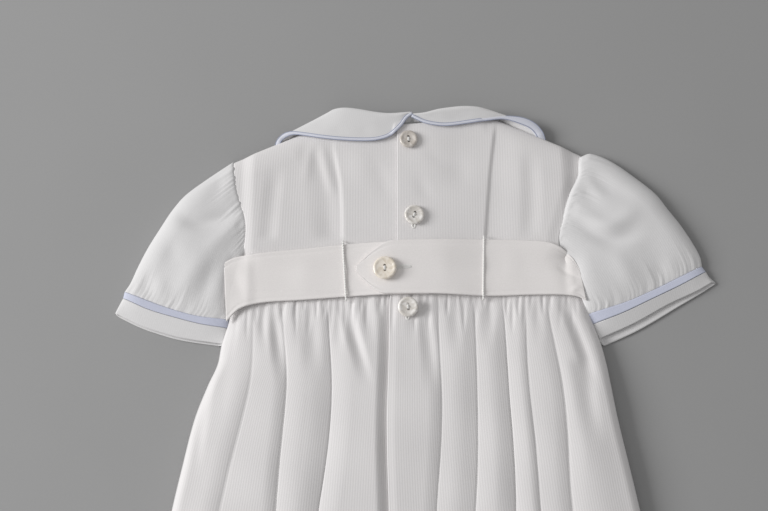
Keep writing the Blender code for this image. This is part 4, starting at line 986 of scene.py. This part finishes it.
# collar
collar = {
    "wall": 0.9,
    "crown": 0.9,
    "air": 0.15,
    "low": 0.5,            # height of the front part under the bodice
    "backZ": (4, 5.2),
    "rollOut": 3.1,        # from the front's neckline to the roll, then to the seam
    "seamOut": 1.9,
    # where the two painted shade lines lie on the piping
    "shadeLineBeside": 0.86,    # share of the piping's half width
    "shadeLineUp": 0.52,        # share of its half height
    "cordHigh": 0.8,
    "cordWide": 1.0,
    # half width of the piping at the corner, and the x where it begins and is reached
    "cornerWide": {"left": (1.5, -66, -76), "right": (2.5, 56, 72)},
    "shadeLineRadius": 0.27,
    # middle of the piping, roll and neck seam, each x y z, from the centre back round the shoulder
    "left": [
        (2.5, 113.4, 9.9, 2.5, 113.8, 9.9, 1.6, 109, 7.4),
        (-1, 110.6, 9.8, -0.6, 113.4, 10.3, -0.6, 108.6, 7.4),
        (-4.2, 106, 9.5, -3.6, 113.2, 10.5, -3.6, 108.4, 7.4),
        (-8.8, 101.4, 9.3, -8.5, 112.9, 10.5, -8.5, 108.4, 7.4),
        (-14.6, 98.4, 9.2, -13.5, 112.9, 10.6, -13.5, 108.5, 7.4),
        (-23, 96.9, 9.1, -20, 113.7, 10.6, -20, 109, 7.4),
        (-40.8, 97.4, 9, -32, 115.8, 10.6, -31, 110.8, 7.2),
        (-53, 98.9, 8.6, -39, 116.5, 10.2, -38, 112, 6.8),
        (-63.5, 100.9, 7.6, -44.4, 116, 9, -42.6, 112.6, 6.4),
        (-70.6, 101.7, 6.6, -46.6, 115.2, 7.6, -44.8, 112.8, 5.6),
        (-75.4, 100.2, 5.6, -47.8, 114.6, 6, -45.8, 112.6, 4.8),
        (-78.6, 96.8, 4.4, -48.3, 114, 4.4, -46.3, 112.4, 4.2),
        (-79.8, 92.4, 2.2, -47.8, 113, 2.4, -46.2, 111.9, 3.2),
    ],
    "right": [
        (2.5, 111.6, 9.6, 3, 112.6, 9.8, 4, 108.8, 7.4),
        (10.2, 107.9, 9.5, 10.2, 113.2, 10.5, 10.2, 109.4, 7.4),
        (19.2, 106.2, 9.3, 19, 115.4, 10.9, 19, 110.6, 7.4),
        (26, 106.3, 9.2, 25.6, 116.4, 11, 25.6, 111.6, 7.3),
        (37.2, 108.1, 9, 34, 117.2, 11, 34, 112.8, 7.2),
        (49.2, 110.2, 8.7, 42, 117, 10.4, 41, 114, 6.8),
        (58.2, 111.3, 8, 46.5, 116.2, 9.4, 45, 114.4, 6.6),
        (66, 110.5, 7.2, 49, 115.6, 8.4, 47.4, 114.6, 6.2),
        (73, 108.5, 6.4, 50.6, 115.2, 7, 49.2, 114.6, 5.4),
        (77.2, 106, 5.6, 51.6, 115, 5.8, 50, 114.6, 4.8),
        (80, 102.8, 4.8, 52.2, 114.8, 4.8, 50.4, 114.5, 4.4),
        (81.6, 99, 3.8, 52.4, 114.6, 3.8, 50.5, 114.4, 3.9),
        (82, 94.4, 2.2, 51.6, 114.3, 2.4, 50.2, 114.2, 3.2),
    ],
    # under the front bodice: x on the neckline, x and y of the outer edge
    "frontLeft": [(-42.5, -77.5, 82), (-36, -72.5, 68.5), (-26, -57, 52.5),
                  (-14, -33, 40.5), (-1.2, -3.6, 36)],
    "frontRight": [(46.5, 81.5, 83.5), (40, 77, 69.5), (30, 61.5, 53),
                   (18, 37.5, 40.5), (5.2, 7.8, 36)],
    # soft dents
    "creases": [
        (-44, 103, -42, 100, -40, 98, 4, -0.45),
        (-27, 104, -26, 101, -26, 98.5, 4, -0.35),
        (-60, 106, -50, 108, -42, 111, 4.5, -0.35),
        (-20, 108, -12, 106, -6, 107, 4, -0.35),
        (22, 112, 30, 110.6, 40, 112, 3.6, -0.35),
        (46, 115, 52, 113.6, 58, 112.6, 3, 0.25),
    ],
}


def collarRows(part):  # the table's rows on the back, and then those under the front bodice
    rows = [list(row) for row in collar[part]]
    for neckX, edgeX, edgeY in collar["frontLeft" if part == "left" else "frontRight"]:
        y = float(frontTopY(neckX))
        slope = float(frontTopY(neckX + 0.5) - frontTopY(neckX - 0.5))
        out = Vector((-slope, 1.0)).normalized()
        rows.append([edgeX, edgeY, collar["low"],
                     neckX + out.x * collar["rollOut"], y + out.y * collar["rollOut"], 1.0,
                     neckX + out.x * collar["seamOut"], y + out.y * collar["seamOut"],
                     body["frontZ"] + body["collarRaise"]])
    return rows


def clearOfBodice(point, half):  # something this thick lies on the back, or flat under the front
    x, y, z = point[..., 0], point[..., 1], point[..., 2]
    lap = smooth(-11.0, -7.6, x) * lapShare(x)
    lowest = bodiceCover(x, y) + body["lapRise"] * lap + body["halfWall"] + body["seamGap"]
    lowest = lowest + half + collar["air"]
    inside = shoulderDistance(x, y)
    onBack = smooth(*collar["backZ"], z) * smooth(-3.4, -0.6, inside)
    under = smooth(0.6, 4.0, inside) * (1.0 - smooth(*collar["backZ"], z))
    z = z + np.maximum(0.0, lowest - z) * onBack
    return np.stack([x, y, mix(z, half, under)], axis=-1)


def collarPoint(rows, u, v):  # u along the collar, v from its edge over the roll to the neck seam
    values = alongPoints(rows, u)
    edge, roll, seam = values[..., 0:3], values[..., 3:6], values[..., 6:9]
    crown = collar["crown"] * smooth(2.0, 7.0, roll[..., 2:3])
    up = np.array([0.0, 0.0, 1.0])
    top = mix(roll, edge, 0.10) + up * crown
    profile = [edge, mix(edge, top, 0.36), mix(edge, top, 0.72), top, roll,
               mix(roll, seam, 0.55) - up * crown * 0.5, seam]
    place = np.clip(v, 0.0, 1.0) * (len(profile) - 1)
    i = np.minimum(len(profile) - 2, place.astype(int))
    stack = np.stack(profile, axis=0)
    slopes = np.gradient(stack, axis=0)
    index = np.broadcast_to(i[None, ..., None], (1,) + edge.shape)
    first, second = (np.take_along_axis(stack, index + k, axis=0)[0] for k in (0, 1))
    slopeA, slopeB = (np.take_along_axis(slopes, index + k, axis=0)[0] for k in (0, 1))
    t = (place - i)[..., None]
    point = (first * (1 + 2 * t) * (1 - t) ** 2 + second * t * t * (3 - 2 * t)
             + slopeA * t * (1 - t) ** 2 - slopeB * t * t * (1 - t))
    dent = creased(collar["creases"], point[..., 0], point[..., 1]) * smooth(6.0, 9.0, point[..., 2])
    point = point + up * (dent * smooth(0.02, 0.2, v))[..., None]
    return np.where((v < 0.6)[..., None], clearOfBodice(point, collar["low"]), point)


def roundCord(name, path, side, up, wide, high, finish, around=14):  # oval cord along a path
    path, side, up = np.asarray(path), np.asarray(side), np.asarray(up)
    wide = np.broadcast_to(wide, len(path))

    def place(u, v):
        i = np.rint(u * (len(path) - 1)).astype(int)
        angle = -v[..., None] * 2 * np.pi
        point = path[i] + side[i] * np.cos(angle) * wide[i][..., None] + up[i] * np.sin(angle) * high
        return point[..., 0], point[..., 1], point[..., 2]
    made = clothSheet(name, len(path) - 1, around, place, finish, 0.0, closed=True)
    bm = bmesh.new()
    bm.from_mesh(made.data)
    rims = [edge for edge in bm.edges if edge.is_boundary]
    bmesh.ops.holes_fill(bm, edges=rims, sides=0)
    bmesh.ops.recalc_face_normals(bm, faces=bm.faces)
    bm.to_mesh(made.data)
    bm.free()
    return made


def collarPieces(part):
    rows = collarRows(part)

    def place(u, v):
        point = collarPoint(rows, u, v)
        return point[..., 0], point[..., 1], point[..., 2]
    cloth = clothSheet("collar_%s_cloth" % part, 240, 36, place, plainCotton, collar["wall"])
    finishPiece(cloth, "collar_" + part)
    u = np.linspace(0.0, 1.0, 281)
    edge = alongPoints(rows, u)[:, 0:3]
    edge[:, 2] = np.maximum(edge[:, 2], collar["cordHigh"])
    edge = clearOfBodice(edge, collar["cordHigh"])
    along = np.gradient(edge, axis=0)
    along /= np.linalg.norm(along, axis=1)[:, None]
    side = np.cross(along, np.array([0.0, 0.0, 1.0]))
    side /= np.linalg.norm(side, axis=1)[:, None]
    upward = np.cross(side, along)
    widest, start, full = collar["cornerWide"][part]
    sign = 1.0 if part == "right" else -1.0
    wide = mix(collar["cordWide"], widest, smooth(start * sign, full * sign, edge[:, 0] * sign))
    piping = roundCord("collar_piping_%s_cord" % part, edge, side, upward, wide, collar["cordHigh"],
                       pipingCotton)
    finishPiece(piping, "collar_piping_" + part)
    # dark cords on both flanks of the piping: painted shade where the cord meets the cloth and on the
    # cord's lower side
    shadeLines = []
    for label, towards in (("a", 1.0), ("b", -1.0)):
        line = edge + side * (towards * wide * collar["shadeLineBeside"])[:, None]
        line = line + upward * collar["cordHigh"] * collar["shadeLineUp"]
        shadeLines.append(roundCord("collar_shade_line_%s_%s" % (part, label), line, side, upward,
                               collar["shadeLineRadius"], collar["shadeLineRadius"], pipingPaintedShade, 6))
        finishPiece(shadeLines[-1], "collar_piping_" + part)
    return cloth, [piping] + shadeLines


collarLeft = collarPieces("left")
collarRight = collarPieces("right")
print("collar made")


# belt and its loops
def beltHalf(part, surface):
    rows = belt[part]

    def place(u, v):
        values = alongPoints(rows, u)
        x, y = mix(values[..., 0], values[..., 2], v), mix(values[..., 1], values[..., 3], v)
        x, y, z = lifted(surface, x, y, body["layer"] + belt["air"])
        inside = np.minimum(v, 1.0 - v)
        stitched = belt["stitchDepth"] * np.exp(-((inside - belt["stitchIn"]) / belt["stitchWide"]) ** 2)
        relief = creased(belt["creases"], x, y) * smooth(0.0, 0.12, inside)
        relief = relief + belt["swell"] * ripple(x, y, belt["swellPitch"])
        return x, y, z + relief - stitched
    made = clothSheet("belt_%s_cloth" % part, 220, 48, place, beltCotton, belt["wall"])
    return finishPiece(made, "belt_" + part)


def beltLoop(part):
    topX, lowX = belt["loopX"][part]
    rows = belt[part]
    high, low = float(throughRows(rows, 2, 3, topX)), float(throughRows(rows, 0, 1, lowX))
    half, gap = body["halfWall"], body["seamGap"]
    over, on = body["layer"] + half + gap + half, half + gap + half  # over the belt and on the cloth
    steps = [(high + 2.6, on), (high + 1.5, over * 0.9), (high - 0.2, over), (mix(high, low, 0.33), over),
             (mix(high, low, 0.66), over), (low + 0.2, over), (low - 1.5, over * 0.9),
             (low - 2.6, on + 0.4)]
    points = []
    for y, lift in steps:
        x = mix(lowX, topX, (y - low) / (high - low))
        points.append((x, y, float(coverZ(np.array(x), np.array(y))) + lift))
    path = alongPoints(points, np.linspace(0.0, 1.0, 90))
    turn = np.linspace(0.0, 1.0, 90)[:, None] * (high - low) / belt["loopTwist"] * 2 * np.pi
    side, up = np.array([[1.0, 0.0, 0.0]]), np.array([[0.0, 0.0, 1.0]])
    strands = []
    for shift in (0.0, np.pi):
        around = side * np.cos(turn + shift) + up * np.sin(turn + shift)
        strand = path + around * belt["loopRadius"] * 0.75
        strands.append(roundCord("belt_loop_%s_%s" % (part, "b" if shift else "a"), strand,
                                 np.repeat(side, 90, 0), np.repeat(up, 90, 0), belt["loopRadius"],
                                 belt["loopRadius"], whiteThread, 8))
    for strand in strands:
        finishPiece(strand, "belt_loop_" + part)


beltLeft = beltHalf("left", beltLeftZ)
beltRight = beltHalf("right", beltRightZ)
beltLoop("left")
beltLoop("right")
print("belt made")


# buttons
buttons = {
    "dish": 1.75,
    "rim": 2.2,
    "holeRadius": 0.85,
    "holeSpacing": 2.8,
    "threadRadius": 0.26,
    "threadSpots": ((-0.42, 0.0), (0.0, 0.22), (0.42, 0.0)),  # x, and height over the lowest
    "threadRise": 1.15,
    "seat": 0.25,          # over the cloth
    "stitchWide": 0.5,
    "stitchHigh": 0.16,
    # diameter, x, y, tilt about x and y, turn
    "button_neck": (11.0, 0.4, 96.6, 1.0, 2.0, 6.0),
    "button_yoke": (12.0, 3.6, 48.8, -3.0, 4.0, -20.0),
    "button_waist": (12.0, -0.3, -7.8, 3.0, 0.0, 8.0),
    "button_belt": (14.0, -13.8, 15.6, 0.0, -6.0, 4.0),
}


pearls = {
    "pearl": {"colour": (0.93, 0.90, 0.87), "deep": (0.70, 0.66, 0.61)},
    "shaded pearl": {"colour": (0.76, 0.71, 0.66), "deep": (0.55, 0.50, 0.45)},
    "amber pearl": {"colour": (0.88, 0.81, 0.72), "deep": (0.75, 0.67, 0.56)},
    "swirl": 190.0,
    "twist": 1.6,
    "edges": (0.40, 0.60),  # of the swirl's values, where the two colours begin
    "relief": 0.00008,
    "rough": 0.28,
    "coat": 0.5,
    "coatRough": 0.12,
}


def pearlMaterial(name):
    colour, deep = pearls[name]["colour"], pearls[name]["deep"]
    made, tree, shader = shaderNodes(name, colour)
    place = tree.nodes.new("ShaderNodeTexCoord")
    swirl = noiseOf(tree, place.outputs["Object"], pearls["swirl"], 4.0, 0.6)
    swirl.node.inputs["Distortion"].default_value = pearls["twist"]
    ramp = tree.nodes.new("ShaderNodeValToRGB")
    for element, position, shade in zip(ramp.color_ramp.elements, pearls["edges"], (deep, colour)):
        element.position = position
        element.color = (*shade, 1.0)
    tree.links.new(swirl, ramp.inputs["Fac"])
    tree.links.new(ramp.outputs["Color"], shader.inputs["Base Color"])
    tree.links.new(bumpOf(tree, swirl, pearls["relief"]), shader.inputs["Normal"])
    shader.inputs["Roughness"].default_value = pearls["rough"]
    shader.inputs["Coat Weight"].default_value = pearls["coat"]
    shader.inputs["Coat Roughness"].default_value = pearls["coatRough"]
    return made


pearl = pearlMaterial("pearl")
shadedPearl = pearlMaterial("shaded pearl")
amberPearl = pearlMaterial("amber pearl")


def applied(made):  # the object with its modifiers made real
    bpy.context.view_layer.update()
    mesh = bpy.data.meshes.new_from_object(made.evaluated_get(bpy.context.evaluated_depsgraph_get()))
    made.modifiers.clear()
    made.data = mesh


def buttonPiece(name, surface, finish):
    diameter, x, y, tiltX, tiltY, turn = buttons[name]
    radius = diameter / 2
    dish, rim = buttons["dish"], buttons["rim"]
    profile = [(0.0, dish), (radius - 2.6, dish), (radius - 2.1, dish + 0.15), (radius - 1.6, rim - 0.1),
               (radius - 1.1, rim), (radius - 0.6, rim - 0.08), (radius - 0.15, rim - 0.5),
               (radius, rim - 1.0), (radius - 0.15, 0.7), (radius - 0.8, 0.15), (radius - 1.6, 0.0),
               (0.0, 0.0)]
    bm = bmesh.new()
    ring = [bm.verts.new((px * mm, 0.0, pz * mm)) for px, pz in profile]
    edges = [bm.edges.new(pair) for pair in zip(ring, ring[1:])]
    bmesh.ops.spin(bm, geom=ring + edges, cent=(0, 0, 0), axis=(0, 0, 1), angle=2 * math.pi, steps=56,
                   use_merge=True)
    bmesh.ops.remove_doubles(bm, verts=bm.verts, dist=1e-6)
    bmesh.ops.recalc_face_normals(bm, faces=bm.faces)
    made = linked(name + "_pearl", bm)
    holes = []
    for side in (-1, 1):
        bm = bmesh.new()
        bmesh.ops.create_cone(bm, cap_ends=True, segments=24, radius1=buttons["holeRadius"] * mm,
                              radius2=buttons["holeRadius"] * mm, depth=8 * mm)
        holeY = side * buttons["holeSpacing"] / 2 * mm
        bmesh.ops.translate(bm, verts=bm.verts, vec=(0.0, holeY, 0.7 * mm))
        hole = linked("hole", bm)
        holes.append(hole)
        cut = made.modifiers.new("hole", "BOOLEAN")
        cut.operation = "DIFFERENCE"
        cut.solver = "EXACT"
        cut.object = hole
    applied(made)
    for hole in holes:
        bpy.data.objects.remove(hole, do_unlink=True)
    made.data.materials.clear()
    made.data.materials.append(finish)
    made.data.shade_smooth()
    made.data.set_sharp_from_angle(angle=math.radians(42))
    ringAngles = np.arange(12) * np.pi / 6  # where the button may touch the cloth
    dx = np.concatenate([np.cos(ringAngles) * k * radius for k in (0.0, 0.5, 1.0)])
    dy = np.concatenate([np.sin(ringAngles) * k * radius for k in (0.0, 0.5, 1.0)])
    slopeX, slopeY = math.tan(math.radians(-tiltY)), math.tan(math.radians(tiltX))
    z = float(np.max(surface(x + dx, y + dy) - dx * slopeX - dy * slopeY))
    z = z + body["halfWall"] + buttons["seat"]
    strands = []
    t = np.linspace(0.0, 1.0, 17)[:, None]
    sideways, upwards = np.repeat([[1.0, 0.0, 0.0]], 17, 0), np.repeat([[0.0, 0.0, 1.0]], 17, 0)
    half = buttons["holeSpacing"] / 2
    for k, (shift, lift) in enumerate(buttons["threadSpots"]):
        arch = dish - 0.9 + (buttons["threadRise"] + lift) * np.sin(np.pi * t) ** 0.45
        path = np.concatenate([np.full_like(t, shift), mix(-half, half, t), arch], axis=1)
        strands.append(roundCord("%s_thread_%d" % (name, k + 1), path, sideways, upwards,
                                 buttons["threadRadius"], buttons["threadRadius"], whiteThread, 8))
    place = Matrix.Translation((x * mm, y * mm, z * mm)) @ Euler(
        [math.radians(a) for a in (tiltX, tiltY, turn)]).to_matrix().to_4x4()
    made.data.transform(place)
    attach(made, "root")
    finishPiece(made, name)
    for strand in strands:
        strand.data.transform(place)
        finishPiece(strand, name)


def rightBack(x, y):
    return np.where(y > body["waistY"], bodiceZ(x, y, "right"), bodyBackZ(x, y, "right"))


def fastenedBelt(x, y):
    return beltRightZ(x, y) + body["layer"] + belt["air"]


def buttonhole(name, surface, start, end, half):  # a stitched slit lying on the cloth
    start, end = np.array(start), np.array(end)
    along = (end - start) / np.linalg.norm(end - start)
    aside = np.array([-along[1], along[0]])
    turn = np.linspace(0.0, 2 * np.pi, 97)
    shares = 0.5 - 0.5 * np.sign(np.cos(turn)) * np.abs(np.cos(turn)) ** 0.25
    spots = start + (end - start) * shares[:, None] + aside * (np.sin(turn) * half)[:, None]
    path = np.column_stack([spots, surface(spots[:, 0], spots[:, 1]) + body["halfWall"]])
    side = np.column_stack([np.gradient(spots[:, 1]), -np.gradient(spots[:, 0]), np.zeros(len(turn))])
    side /= np.maximum(1e-6, np.linalg.norm(side, axis=1))[:, None]
    made = roundCord(name, path, side, np.repeat([[0.0, 0.0, 1.0]], len(turn), 0),
                     buttons["stitchWide"], buttons["stitchHigh"], whiteThread, 8)


buttonPiece("button_neck", rightBack, shadedPearl)  # darker, as it lies in the collar's shade
buttonPiece("button_yoke", rightBack, pearl)
buttonPiece("button_waist", rightBack, pearl)
buttonPiece("button_belt", fastenedBelt, amberPearl)
buttonhole("buttonhole_belt", fastenedBelt, (-15.0, 16.6), (1.4, 16.9), 0.7)
buttonhole("buttonhole_yoke", rightBack, (3.6, 50.0), (3.3, 41.2), 0.9)
buttonhole("buttonhole_waist", rightBack, (-0.4, -6.0), (-0.6, -15.0), 0.9)
print("buttons made")


# floor, light and camera
def floorPiece():
    made, tree, shader = shaderNodes("studio floor", light["floorLeft"])
    place = tree.nodes.new("ShaderNodeTexCoord")
    split = tree.nodes.new("ShaderNodeSeparateXYZ")
    tree.links.new(place.outputs["Object"], split.inputs[0])
    # painted shade: the floor goes from its left colour to its darker right colour, as the light's
    # falloff from the left
    across = mathNode(tree, "MULTIPLY_ADD", split.outputs[0], light["paintedFloorFalloff"], 0.5)
    across.node.use_clamp = True
    paintedFalloffTone = mixColour(tree, across, light["floorLeft"], light["floorRight"])
    grain = noiseOf(tree, place.outputs["Object"], 900.0, 2.0)
    dust = noiseOf(tree, place.outputs["Object"], 14.0, 3.0)
    dusty = mixColour(tree, dust, (0.96, 0.96, 0.96), (1.0, 1.0, 1.0))
    grained = mixColour(tree, grain, (0.95, 0.95, 0.95), (1.0, 1.0, 1.0))
    tree.links.new(multiplied(tree, paintedFalloffTone, dusty, grained), shader.inputs["Base Color"])
    shader.inputs["Roughness"].default_value = 0.9
    shader.inputs["Specular IOR Level"].default_value = 0.1
    bm = bmesh.new()
    bmesh.ops.create_grid(bm, x_segments=1, y_segments=1, size=light["floorSize"])
    floor = linked("floor", bm, made)
    floor.location = (0.0, 0.0, -0.2 * mm)


def softLight(name, power, size, source):
    lamp = bpy.data.lights.new(name, "AREA")
    lamp.energy = power
    lamp.size = size
    made = bpy.data.objects.new(name, lamp)
    made.location = source
    made.rotation_euler = (Vector((0.0, 0.0, 0.0)) - Vector(source)).to_track_quat("-Z", "Y").to_euler()
    bpy.context.scene.collection.objects.link(made)


floorPiece()
softLight("key", light["keyPower"], light["keySize"], light["keyFrom"])
bpy.context.scene.view_settings.view_transform = "Standard"
world = bpy.data.worlds.new("studio")
world.use_nodes = True
world.node_tree.nodes["Background"].inputs["Color"].default_value = (1.0, 1.0, 1.0, 1.0)
world.node_tree.nodes["Background"].inputs["Strength"].default_value = light["sky"]
bpy.context.scene.world = world

lens = bpy.data.cameras.new("camera")
lens.lens = view["lens"]
lens.sensor_width = view["sensor"]
lens.clip_end = 10.0
camera = bpy.data.objects.new("camera", lens)
distance = view["scale"] * view["pixelsWide"] * view["lens"] / view["sensor"] * mm
tilt = math.radians(view["tilt"])
aim = Vector((view["aim"][0] * mm, view["aim"][1] * mm, 0.0))
camera.location = aim + Vector((0.0, -math.sin(tilt), math.cos(tilt))) * distance
camera.rotation_euler = (tilt, 0.0, 0.0)
bpy.context.scene.collection.objects.link(camera)
bpy.context.scene.camera = camera

print("scene ready")
